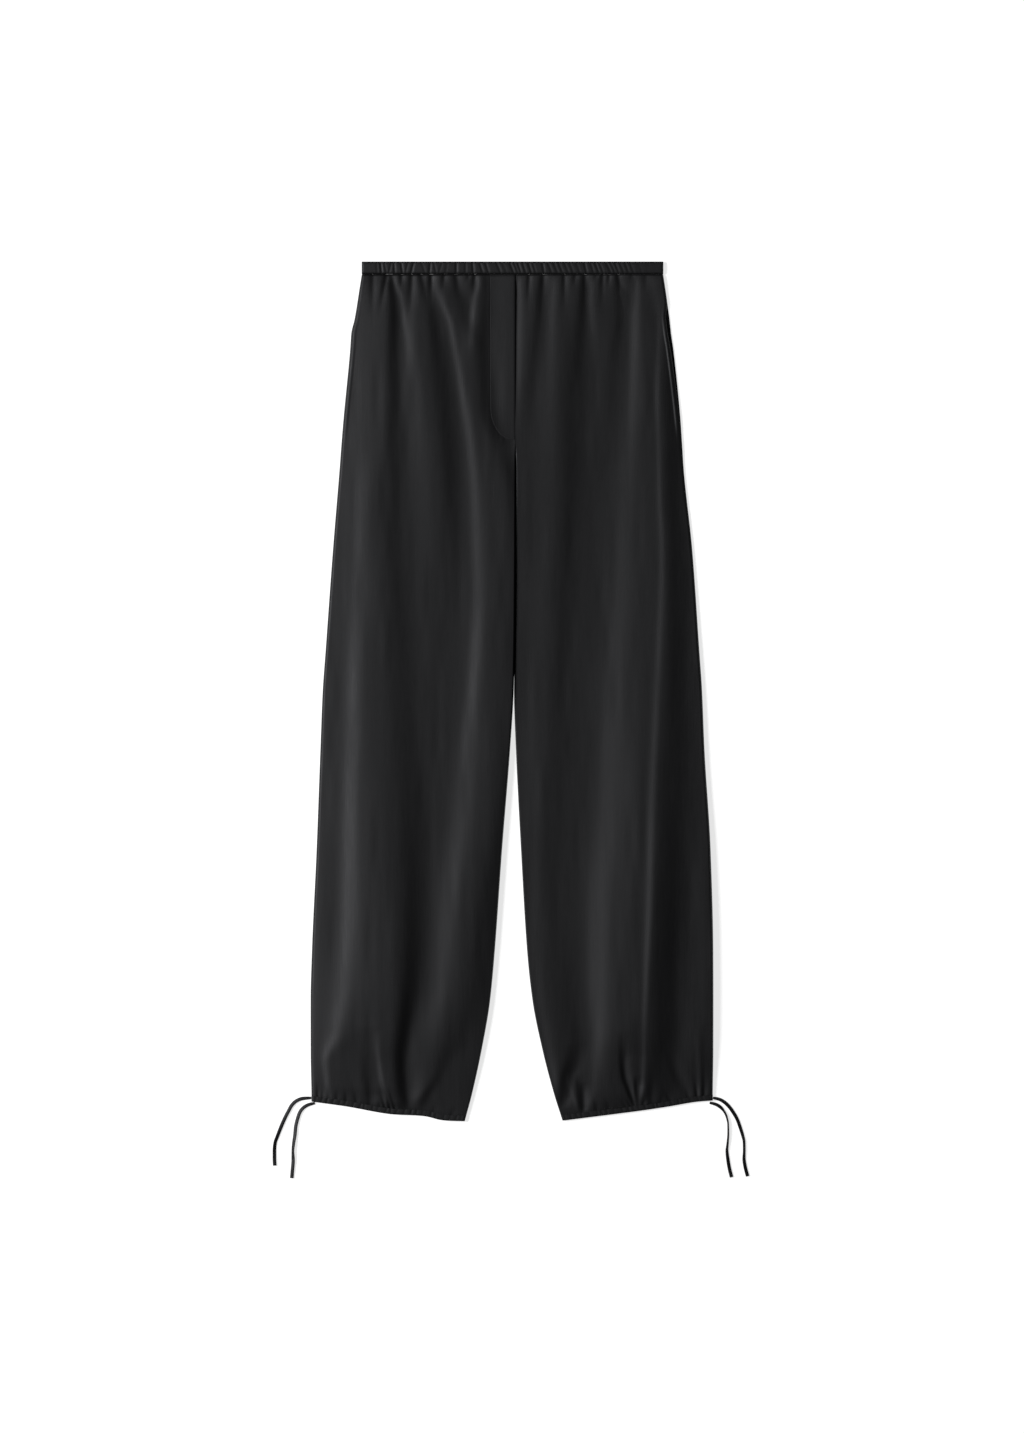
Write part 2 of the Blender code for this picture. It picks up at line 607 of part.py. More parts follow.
    def front_over(self, column, row):
        """The outer side, a wall's thickness off the under side where the cloth slopes."""
        under = self.front_under(column, row)
        near = self.front_under(min(column + 1, FRONT_COLUMNS), row)
        back = self.front_under(max(column - 1, 0), row)
        slope = (near.z - back.z) / max(abs(near.x - back.x), MM)
        return under + Vector((0, 0, min(STEEP_WALL, WALL * math.sqrt(1 + slope * slope)) * MM))

    def back_point(self, column, row, z):
        place = self.place(column / BACK_COLUMNS, row / BACK_ROWS)
        return Vector((place.x, place.y, z)) * MM


def empty_scene():
    for obj in list(bpy.data.objects):
        bpy.data.objects.remove(obj, do_unlink=True)


def satin(name):
    """The cloth's material, one for each object."""
    material = bpy.data.materials.new(name)
    material.use_nodes = True
    shader = material.node_tree.nodes["Principled BSDF"]
    shader.inputs["Base Color"].default_value = CLOTH_COLOUR
    shader.inputs["Roughness"].default_value = CLOTH_ROUGHNESS
    shader.inputs["Metallic"].default_value = 0.0
    return material


def add_object(name, data, collection):
    obj = bpy.data.objects.new(name, data)
    data.materials.append(satin(f"{name}_satin"))
    collection.objects.link(obj)
    return obj


def cloth_wall(name, columns, rows, under, over, collection):
    """A closed wall of cloth: a grid of columns by rows whose faces are extruded, the first layer
    laid on under(column, row) and the second on over(column, row)."""
    bm = bmesh.new()
    place = bm.verts.layers.float_vector.new("place")
    bmesh.ops.create_grid(bm, x_segments=columns, y_segments=rows, size=0.5)
    for vert in bm.verts:
        vert[place] = Vector(((vert.co.x + 0.5) * columns, (vert.co.y + 0.5) * rows, 0))
    lower = list(bm.verts)
    grown = bmesh.ops.extrude_face_region(bm, geom=bm.faces[:], use_keep_orig=True)
    upper = [item for item in grown["geom"] if isinstance(item, bmesh.types.BMVert)]
    for verts, surface in ((lower, under), (upper, over)):
        for vert in verts:
            vert.co = surface(round(vert[place].x), round(vert[place].y))
    bm.verts.layers.float_vector.remove(place)
    bmesh.ops.recalc_face_normals(bm, faces=bm.faces[:])
    mesh = bpy.data.meshes.new(name)
    bm.to_mesh(mesh)
    bm.free()
    mesh.shade_smooth()
    mesh.set_sharp_from_angle(angle=math.radians(50))
    return add_object(name, mesh, collection)


def front_and_back_legs(leg, collection):
    cloth_wall(f"{leg.side}_back_leg", BACK_COLUMNS, BACK_ROWS,
               lambda column, row: leg.back_point(column, row, 0.0),
               lambda column, row: leg.back_point(column, row, WALL), collection)
    return cloth_wall(f"{leg.side}_front_leg", FRONT_COLUMNS, len(FRONT_ROWS) - 1,
                      leg.front_under, leg.front_over, collection)


def zigzag(column, height):
    """Ruching: every second line of the grid is a crest."""
    return height * (column % 2)


def band_slant(across):
    """How far a ruche leans over the band's height: more from the wearer's right to the left, and
    not at all at the ends."""
    grows = ease((across - BAND_SLANT_FROM) / BAND_SLANT_GROWS)
    return BAND_SLANT * grows * ease((1 - across) / BAND_END)


def waistband(collection):
    """The casing's two halves, which meet at the side seams."""
    right = between(OUTLINE, "right_side", WAIST_TOP - BAND_HEIGHT)
    left = between(OUTLINE, "left_side", WAIST_TOP - BAND_HEIGHT)
    columns = 2 * BAND_RUCHES
    front_floor = BAND_BACK_THICK + SEAM_GAP

    def on_band(column, row, columns, rows):
        across, down = column / columns, row / rows
        x = blend(right, left, across) + band_slant(across) * (down - 0.5)
        return x, WAIST_TOP - BAND_HEIGHT * down

    def front_under(column, row):
        x, y = on_band(column, row, columns, BAND_ROWS)
        return Vector((x, y, front_floor)) * MM

    def front_over(column, row):
        x, y = on_band(column, row, columns, BAND_ROWS)
        crown = BAND_CROWN * math.sin(math.pi * row / BAND_ROWS)
        ruche = zigzag(column, BAND_RUCHE_HEIGHT)
        return Vector((x, y, front_floor + BAND_FRONT_THICK + crown + ruche)) * MM

    cloth_wall("waistband_front", columns, BAND_ROWS, front_under, front_over, collection)

    def back(z):
        return lambda column, row: Vector((*on_band(column, row, BAND_BACK_COLUMNS, 1), z)) * MM

    cloth_wall("waistband_back", BAND_BACK_COLUMNS, 1, back(0.0), back(BAND_BACK_THICK), collection)


def hem_channel(leg, collection):
    """The casing round one hem, in two halves."""
    columns = 2 * CHANNEL_RUCHES
    front_floor = CHANNEL_BACK_THICK + SEAM_GAP

    def on_channel(column, row, columns, rows):
        up = CHANNEL_HEIGHT * (1 - row / rows)
        ends = []
        for edge, base_y in (("_inner", HEM_INNER_Y), ("_side", HEM_OUTER_Y)):
            ends.append(Vector((between(OUTLINE, leg.side + edge, base_y + up), base_y + up)))
        across = column / columns
        return ends[0].lerp(ends[1], across) - Vector((0, leg.bow(across)))

    def front_under(column, row):
        return Vector((*on_channel(column, row, columns, CHANNEL_ROWS), front_floor)) * MM

    def front_over(column, row):
        crown = CHANNEL_CROWN * math.sin(math.pi * row / CHANNEL_ROWS)
        ruche = zigzag(column, CHANNEL_RUCHE_HEIGHT)
        z = front_floor + CHANNEL_FRONT_THICK + crown + ruche
        return Vector((*on_channel(column, row, columns, CHANNEL_ROWS), z)) * MM

    cloth_wall(f"{leg.side}_hem_channel_front", columns, CHANNEL_ROWS, front_under, front_over, collection)

    def back(z):
        return lambda column, row: Vector((*on_channel(column, row, CHANNEL_BACK_COLUMNS, 1), z)) * MM

    cloth_wall(f"{leg.side}_hem_channel_back", CHANNEL_BACK_COLUMNS, 1, back(0.0), back(CHANNEL_BACK_THICK),
               collection)


def fly(fronts, collection):
    """The fly lies on the two fronts: its points are taken from theirs, straight up."""
    top = WAIST_TOP - BAND_HEIGHT - SEAM_GAP
    trees = [BVHTree.FromPolygons([v.co for v in front.data.vertices],
                                  [p.vertices[:] for p in front.data.polygons]) for front in fronts]
    half_cell = 0.5 * (FLY_RIGHT - FLY_LEFT) / FLY_COLUMNS
    around = [(dx, dy) for dx in (-half_cell, 0.0, half_cell) for dy in (-half_cell, 0.0, half_cell)]

    def cloth_top(x, y):
        """The highest cloth at a point and close around it, in millimetres."""
        found = []
        for tree in trees:
            for dx, dy in around:
                start = Vector((x + dx, y + dy, ABOVE_ALL)) * MM
                hit = tree.ray_cast(start, Vector((0, 0, -1)))[0]
                if hit:
                    found.append(hit.z / MM)
        return max(found)

    def place(column, row, above):
        y = blend(top, FLY_BOTTOM, ease(row / FLY_ROWS) ** FLY_SPACING)
        x = blend(FLY_RIGHT, fly_edge(y), column / FLY_COLUMNS)
        return Vector((x, y, cloth_top(x, y) + SEAM_GAP + above)) * MM

    cloth_wall("fly", FLY_COLUMNS, FLY_ROWS, lambda column, row: place(column, row, 0.0),
               lambda column, row: place(column, row, WALL), collection)


def pocket_facing(leg, collection):
    """The strip that lines a pocket mouth, between the back and the front."""
    def place(column, row, z):
        y = blend(POCKET_TOP, POCKET_BOTTOM, row / FACING_ROWS)
        side = between(OUTLINE, leg.side + "_side", y)
        return Vector((side - math.copysign(FACING_WIDTH, side) * (1 - column), y, z)) * MM

    floor = WALL + SEAM_GAP
    cloth_wall(f"{leg.side}_pocket_facing", 1, FACING_ROWS, lambda column, row: place(column, row, floor),
               lambda column, row: place(column, row, floor + WALL), collection)


def tie(name, route, collection):
    curve = bpy.data.curves.new(name, "CURVE")
    curve.dimensions = "3D"
    curve.bevel_depth = 0.5 * TIE_WIDTH * MM
    curve.bevel_resolution = 2
    curve.use_fill_caps = True
    spline = curve.splines.new("POLY")
    spline.points.add(len(route) - 1)
    for point, (x, y) in zip(spline.points, route):
        point.co = (x * MM, y * MM, TIE_Z * MM, 1.0)
    return add_object(name, curve, collection)


def main():
    empty_scene()
    collection = bpy.data.collections.new("Gathered trousers")
    bpy.context.scene.collection.children.link(collection)
    waistband(collection)
    fronts = []
    for leg in map(LegCloth, LEGS):
        fronts.append(front_and_back_legs(leg, collection))
        pocket_facing(leg, collection)
        hem_channel(leg, collection)
    fly(fronts, collection)
    for name, route in TIES.items():
        tie(name, route, collection)


main()
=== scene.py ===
# %% [markdown]
# # Gathered satin trousers, laid flat
#
# This lesson dresses a pair of wide black satin trousers. They have an elastic waist, a stitched
# fly, side pockets, and hems that are drawn in by a tie at each side. They lie face up on a pale
# floor, with the waist towards +Y, and a camera looks straight down at them.
#
# The solids of the trousers come in as a fixed frame. Each of them is replaced here by a finer
# cloth of the same form, so that the folds, ruches and stitches can be as small as the real ones.

# %% Load the frame
import math

import bpy
import numpy as np
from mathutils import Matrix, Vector


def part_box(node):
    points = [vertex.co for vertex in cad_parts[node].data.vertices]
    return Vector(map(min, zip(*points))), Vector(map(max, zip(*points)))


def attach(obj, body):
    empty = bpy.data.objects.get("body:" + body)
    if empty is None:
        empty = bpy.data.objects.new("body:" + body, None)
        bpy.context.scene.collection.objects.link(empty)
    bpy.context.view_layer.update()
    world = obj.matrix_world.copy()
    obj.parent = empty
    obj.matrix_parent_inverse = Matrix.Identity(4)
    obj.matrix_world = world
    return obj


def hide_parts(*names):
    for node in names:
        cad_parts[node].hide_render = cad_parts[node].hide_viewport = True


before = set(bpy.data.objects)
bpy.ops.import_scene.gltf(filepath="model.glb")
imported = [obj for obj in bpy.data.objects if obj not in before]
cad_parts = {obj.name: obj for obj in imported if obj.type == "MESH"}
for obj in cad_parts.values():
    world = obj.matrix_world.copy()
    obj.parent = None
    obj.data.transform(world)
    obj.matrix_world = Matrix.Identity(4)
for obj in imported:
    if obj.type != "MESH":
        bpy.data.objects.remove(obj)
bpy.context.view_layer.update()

# %% [markdown]
# ## Sizes
#
# A maker thinks of cloth in millimetres, so the tables below are in millimetres and MM takes them
# to metres at the last moment. The main heights and places are read from the frame, so the cloth
# stays where the solids are.

# %% Main sizes
MM = 0.001


def frame_mm(node):
    """Lowest and highest corner of a solid, in millimetres."""
    low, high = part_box(node)
    return np.array(low) / MM, np.array(high) / MM


band_low, band_high = frame_mm("waistband_front")
WAIST_TOP = band_high[1]
BAND_BOTTOM = band_low[1]
SEAM_GAP = 0.3
LEG_TOP = BAND_BOTTOM - SEAM_GAP
WALL = 1.0
CLOTH = 0.7
HEM_INNER_Y, HEM_OUTER_Y = -519.1, -495.3
CHANNEL_HEIGHT = 6.5
CHANNEL_RISE = CHANNEL_HEIGHT + SEAM_GAP
print("waist at", round(WAIST_TOP, 1), "hems at", round(HEM_INNER_Y, 1), "mm")

# %% [markdown]
# ## Camera
#
# The trousers are cut out on white and show no perspective, so the camera stands about four metres
# above them with a long lens. Its frame is 1433 pixels tall, and one pixel is 1.21 mm on the floor.

# %% Camera
PIXEL = 1.21 * MM
FRAME_ROWS, ORIGIN_ROW = 1433, 691
FRAME_HEIGHT = FRAME_ROWS * PIXEL
MIDDLE_Y = (ORIGIN_ROW - FRAME_ROWS / 2) * PIXEL
SENSOR, LENS = 36.0, 85.0

camera_data = bpy.data.cameras.new("camera")
camera_data.sensor_width = SENSOR
camera_data.lens = LENS
camera_data.clip_end = 60
camera = bpy.data.objects.new("camera", camera_data)
camera.location = (0.0, MIDDLE_Y, FRAME_HEIGHT * LENS / SENSOR)
bpy.context.scene.collection.objects.link(camera)
bpy.context.scene.camera = camera
print("camera height:", round(camera.location.z, 3), "m")

# %% [markdown]
# ## From a grid of points to cloth
#
# Every piece here is a surface over two parameters. Numpy works out all the points at once, and the
# mesh takes them with foreach_set. A cloth wall has an outer and an inner grid, and a strip of faces
# along the rim closes it.

# %% Meshes from arrays
ROOT = "root"
SHARP_ANGLE = 60.0


def make_object(name, points, faces, uvs=None):
    """An object at the origin, from points in millimetres and an array of quads."""
    mesh = bpy.data.meshes.new(name)
    mesh.vertices.add(len(points))
    mesh.vertices.foreach_set("co", (points * MM).astype(np.float32).ravel())
    mesh.loops.add(faces.size)
    mesh.loops.foreach_set("vertex_index", faces.astype(np.int32).ravel())
    mesh.polygons.add(len(faces))
    mesh.polygons.foreach_set("loop_start", np.arange(0, faces.size, 4, dtype=np.int32))
    if uvs is not None:
        layer = mesh.uv_layers.new(name="along")
        layer.data.foreach_set("uv", uvs[faces.ravel()].astype(np.float32).ravel())
    mesh.update(calc_edges=True)
    mesh.validate()
    mesh.shade_smooth()
    mesh.set_sharp_from_angle(angle=math.radians(SHARP_ANGLE))
    piece = bpy.data.objects.new(name, mesh)
    bpy.context.scene.collection.objects.link(piece)
    return piece


def grid_quads(rows, columns):
    """Corner numbers of a grid's quads, row by row."""
    index = np.arange(rows * columns).reshape(rows, columns)
    corners = (index[:-1, :-1], index[:-1, 1:], index[1:, 1:], index[1:, :-1])
    return index, np.stack(corners, axis=-1).reshape(-1, 4)


def cloth_wall(name, outer, inner):
    """A closed wall between two grids of points, each rows x columns x 3.

    The faces are turned so that they point from the inner grid to the outer one.
    """
    rows, columns = outer.shape[:2]
    index, quads = grid_quads(rows, columns)
    shift = rows * columns
    rim = np.concatenate([index[0, :], index[1:, -1], index[-1, -2::-1], index[-2:0:-1, 0]])
    strip = np.stack([np.roll(rim, -1), rim, rim + shift, np.roll(rim, -1) + shift], axis=-1)
    faces = np.concatenate([quads, quads[:, ::-1] + shift, strip])
    a, b, c = (outer.reshape(-1, 3)[quads[:, k]] for k in (0, 1, 3))
    away = (outer - inner).reshape(-1, 3)[quads[:, 0]]
    if np.sum(np.cross(b - a, c - a) * away) < 0:
        faces = faces[:, ::-1]
    return make_object(name, np.concatenate([outer.reshape(-1, 3), inner.reshape(-1, 3)]), faces)


def beside(x, y, z, heading, side, up):
    """Points to the left of a line that runs along the heading, and above it."""
    return np.stack([x - np.sin(heading) * side, y + np.cos(heading) * side, z + up], axis=-1)


def tubes(rings):
    """Points and faces of closed tubes, from points in tubes x stations x around x 3. A ladder of
    quads across the first and the last ring closes each tube."""
    index = np.arange(rings[..., 0].size).reshape(rings.shape[:3])
    ahead = np.roll(index, -1, axis=2)
    body = np.stack([index[:, :-1], ahead[:, :-1], ahead[:, 1:], index[:, 1:]], axis=-1)
    around = rings.shape[2]
    rung = np.arange(around // 2 - 1)
    ladder = np.stack([rung, rung + 1, around - 2 - rung, around - 1 - rung], axis=-1)
    ends = index[:, 0][:, ladder[:, ::-1]], index[:, -1][:, ladder]
    faces = np.concatenate([part.reshape(-1, 4) for part in (body, *ends)])
    return rings.reshape(-1, 3), faces


print("mesh helpers ready")

# %% [markdown]
# ## Smooth curves, steps and unevenness
#
# A few short functions are enough for all the shapes. A table of sizes becomes a smooth curve that
# never overshoots its rows. A soft step is one flank of a fold. Hand-laid cloth is never perfectly
# even, so a seeded random lattice adds slow unevenness, the same in each run.

# %% Curves and noise
LATTICE, LATTICE_START = 64, 1000.0


def table(columns, *rows):
    """Rows of numbers with named columns."""
    return np.array(list(rows), dtype=[(name, float) for name in columns.split()])


def blend(a, b, t):
    return a + (b - a) * t


def bell(t):
    """1 in the middle, and exp(-t * t) beside it."""
    return np.exp(-(t ** 2))


def ease(t):
    """0 to 1 with no slope at either end: t * t * (3 - 2 t)."""
    t = np.clip(t, 0.0, 1.0)
    return t * t * (3 - 2 * t)


def smooth(at, places, values):
    """A cubic curve through (places, values), whose slope at each place is the harmonic mean of
    the slopes on its two sides, or 0 where they differ in sign."""
    order = np.argsort(places)
    places, values = np.asarray(places, float)[order], np.asarray(values, float)[order]
    gaps = np.diff(places)
    chords = np.diff(values) / gaps
    both = chords[:-1] * chords[1:]
    total = np.where(both > 0, chords[:-1] + chords[1:], 1.0)
    middle = np.where(both > 0, 2 * both / total, 0.0)
    slopes = np.concatenate([chords[:1], middle, chords[-1:]])
    at = np.clip(at, places[0], places[-1])
    k = np.clip(np.searchsorted(places, at) - 1, 0, len(gaps) - 1)
    t = (at - places[k]) / gaps[k]
    start = (1 + 2 * t) * (1 - t) ** 2 * values[k] + t * (1 - t) ** 2 * gaps[k] * slopes[k]
    end = t * t * (3 - 2 * t) * values[k + 1] - t * t * (1 - t) * gaps[k] * slopes[k + 1]
    return start + end


def walked(x, y):
    """Distance along a line from its first point to each of its points."""
    return np.concatenate([[0.0], np.cumsum(np.hypot(np.diff(x), np.diff(y)))])


def unevenness(x, y, cell_x, cell_y, seed):
    """Soft noise from -1 to 1: random values on a lattice of cells, eased from one to the next."""
    values = np.random.default_rng(seed).uniform(-1, 1, (LATTICE, LATTICE))
    gx, gy = np.asarray(x) / cell_x + LATTICE_START, np.asarray(y) / cell_y + LATTICE_START
    ix, iy = np.floor(gx).astype(int), np.floor(gy).astype(int)
    tx, ty = ease(gx - ix), ease(gy - iy)
    left, right, low, high = (i % LATTICE for i in (ix, ix + 1, iy, iy + 1))
    near = blend(values[low, left], values[low, right], tx)
    far = blend(values[high, left], values[high, right], tx)
    return blend(near, far, ty)


print("half way between 0 and 2:", float(smooth(0.5, [0, 1], [0, 2])))

# %% [markdown]
# ## Ties
#
# Each hem is drawn in by a narrow strip of the same satin, folded and sewn flat. Its two ends leave
# the hem at the outer side seam and lie loose on the floor. A strip 4.5 mm wide and 1.8 mm thick is
# limp, so it curls up onto its edge here and there, and it is squeezed where it leaves its channel.
# Its section is a flat ring that is carried along the route and turned by the twist. The routes are
# those of the solids.

# %% Routes of the ties
TIE_WIDTH, TIE_THICK = 4.5, 1.8
TIE_SQUEEZE, TIE_SQUEEZED_OVER = 0.35, 6.0
TIE_ROUNDING, TIE_CLEARANCE, TIE_GIRTH = 0.6, 0.05, 10.0


def route(*rows):
    """Points of a tie from the hem outwards, with its twist in degrees, 0 lying flat."""
    return table("x y twist", *rows)


TIES = {
    "right_tie_upper": route(
        (-242.9, -492.2, 0), (-252.9, -492.9, 5), (-260.2, -495.5, 10), (-266.2, -500.9, 10),
        (-270.4, -508.2, 10), (-275.3, -517.9, 5), (-279.5, -527.6, 0), (-283.7, -538.5, -20),
        (-286.5, -546.5, -30), (-287.4, -555.4, -15), (-287.4, -565.1, -5), (-287.0, -574.1, 0),
    ),
    "right_tie_lower": route(
        (-238.4, -498.5, 0), (-245.4, -500.2, 5), (-251.7, -503.6, 10), (-256.5, -509.4, 15),
        (-259.5, -517.9, 15), (-261.7, -527.6, 20), (-262.6, -537.2, 25), (-264.1, -546.9, 40),
        (-265.0, -556.6, 50), (-264.7, -567.5, 25), (-265.6, -579.6, 10), (-266.4, -589.3, 5),
    ),
    "left_tie_upper": route(
        (243.2, -492.2, 0), (250.4, -493.8, -10), (256.6, -497.2, -15), (262.6, -502.8, -20),
        (267.4, -509.4, -20), (272.3, -517.9, -25), (275.9, -527.6, -30), (278.9, -537.2, -40),
        (280.7, -545.4, -50), (280.9, -555.4, -50), (280.6, -565.1, -35), (281.9, -574.8, -20),
        (285.0, -586.9, -10),
    ),
    "left_tie_lower": route(
        (239.2, -498.1, 0), (246.4, -500.0, -15), (252.4, -503.6, -40), (256.6, -508.6, -65),
        (259.6, -514.9, -70), (261.4, -523.9, -75), (261.6, -534.8, -70), (260.8, -546.9, -60),
        (260.0, -555.4, -45), (261.1, -566.3, -25), (262.9, -577.2, -10), (265.6, -588.1, -5),
    ),
}

# %% Make the ties


def along_route(points, count):
    """Evenly spaced points on a smooth curve through the route, with its twist, and the distance."""
    distance = walked(points["x"], points["y"])
    at = np.linspace(0.0, distance[-1], count)
    return [smooth(at, distance, points[name]) for name in ("x", "y", "twist")] + [at]


def tie(node, points, count=90, around=14):
    """A flat strip: the ring (w cos a, t sin a) / 2, made square by a power of 0.6, turned by the
    twist about the route and set down on the floor."""
    x, y, twist, distance = along_route(points, count)
    heading = np.arctan2(np.gradient(y), np.gradient(x))
    angle = np.linspace(0, 2 * np.pi, around, endpoint=False)
    flat = 0.5 * TIE_WIDTH * np.sign(np.cos(angle)) * np.abs(np.cos(angle)) ** TIE_ROUNDING
    thick = 0.5 * TIE_THICK * np.sign(np.sin(angle)) * np.abs(np.sin(angle)) ** TIE_ROUNDING
    flat = flat * (1 - TIE_SQUEEZE * np.exp(-distance / TIE_SQUEEZED_OVER))[:, None]
    turn = np.radians(twist)[:, None]
    side = flat * np.cos(turn) - thick * np.sin(turn)
    up = flat * np.sin(turn) + thick * np.cos(turn)
    lowest = up.min(axis=1)[:, None]
    rings = beside(x[:, None], y[:, None], TIE_CLEARANCE - lowest, heading[:, None], side, up)
    round_it = angle / (2 * np.pi) * TIE_GIRTH
    uvs = np.stack(np.broadcast_arrays(round_it, distance[:, None]), axis=-1) * MM
    piece = make_object(node + "_strip", *tubes(rings[None]), uvs.reshape(-1, 2))
    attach(piece, ROOT)
    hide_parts(node)
    return piece


ties = [tie(node, points) for node, points in TIES.items()]

# %% [markdown]
# ## The outline of the legs
#
# A pattern maker would take the outline off the laid garment with a ruler: how far out the side seams
# and the inner seams are, at a few heights. Each row below is one such height. A leg is then a sheet
# over two parameters, u from the inner seam to the side seam and v from the waist seam to the hem.

# %% Outline
OUTLINE = table(
    "y right_side right_inner left_inner left_side",
    (504.0, -181.7, 3.45, 3.75, 182.9),
    (449.0, -190.6, 3.45, 3.75, 190.6),
    (433.0, -194.4, 3.45, 3.75, 192.3),
    (413.0, -195.8, 3.45, 3.75, 195.2),
    (328.0, -203.9, 3.35, 3.65, 203.8),
    (267.0, -208.7, 4.60, 4.90, 207.8),
    (171.0, -216.6, 4.30, 4.60, 218.0),
    (50.0, -225.4, 3.20, 3.50, 226.5),
    (0.0, -229.0, 2.00, 2.50, 229.9),
    (-71.0, -231.8, -2.4, 4.8, 232.8),
    (-192.0, -236.4, -12.1, 10.9, 240.2),
    (-313.0, -242.0, -20.8, 18.2, 243.4),
    (-374.0, -243.6, -26.6, 24.8, 243.6),
    (-434.0, -243.5, -36.9, 36.9, 243.5),
    (-489.0, -242.5, -49.0, 51.4, 242.8),
    (-520.0, -242.0, -57.4, 61.4, 242.6),
)
HEM_BOW = {
    "right": ((0, 1.0), (0.15, 3.2), (0.26, 1.1), (0.5, 3.9), (0.8, 1.3), (1, 1.0)),
    "left": ((0, 0.3), (0.5, 0.6), (0.7, 0.0), (0.88, -1.3), (1, -0.3)),
}
INNER_LENGTH = LEG_TOP - HEM_INNER_Y - CHANNEL_RISE
SIDE_LENGTH = LEG_TOP - HEM_OUTER_Y - CHANNEL_RISE


def outline(column, y):
    """x of a seam at the height y."""
    return smooth(y, OUTLINE["y"], OUTLINE[column])


def hem_bow(side, u):
    """How far the hem hangs below the straight line between its ends."""
    return smooth(u, *np.transpose(HEM_BOW[side]))


def leg_place(side, u, v):
    """The line between the seams' points at v, at the part u of its length. It is straight at the
    waist and takes the hem's bow on the way down."""
    inner_y, outer_y = LEG_TOP - v * INNER_LENGTH, LEG_TOP - v * SIDE_LENGTH
    inner_x, outer_x = outline(side + "_inner", inner_y), outline(side + "_side", outer_y)
    y = blend(inner_y, outer_y, u) - hem_bow(side, u) * ease(v)
    return blend(inner_x, outer_x, u), y, np.abs(outer_x - inner_x)


print("inner seam", round(INNER_LENGTH, 1), "mm, side seam", round(SIDE_LENGTH, 1), "mm")

# %% [markdown]
# ## The folds of the front cloth
#
# Satin that is gathered at both ends lies in long soft pleats with a flat top. Each pleat has a flank
# that faces the light and one that faces away, and it is the places of these flanks that the eye
# reads. So a fold is kept as a few rows: how high its top stands, where each flank is, and how soft
# it is. The cloth rises by a soft step at the left flank and sinks by another at the right one. A
# negative height makes a valley.

# %% Fold tables


def fold(*rows):
    """Rows of one fold, from the waist down."""
    return table("y height left left_soft right right_soft", *rows)


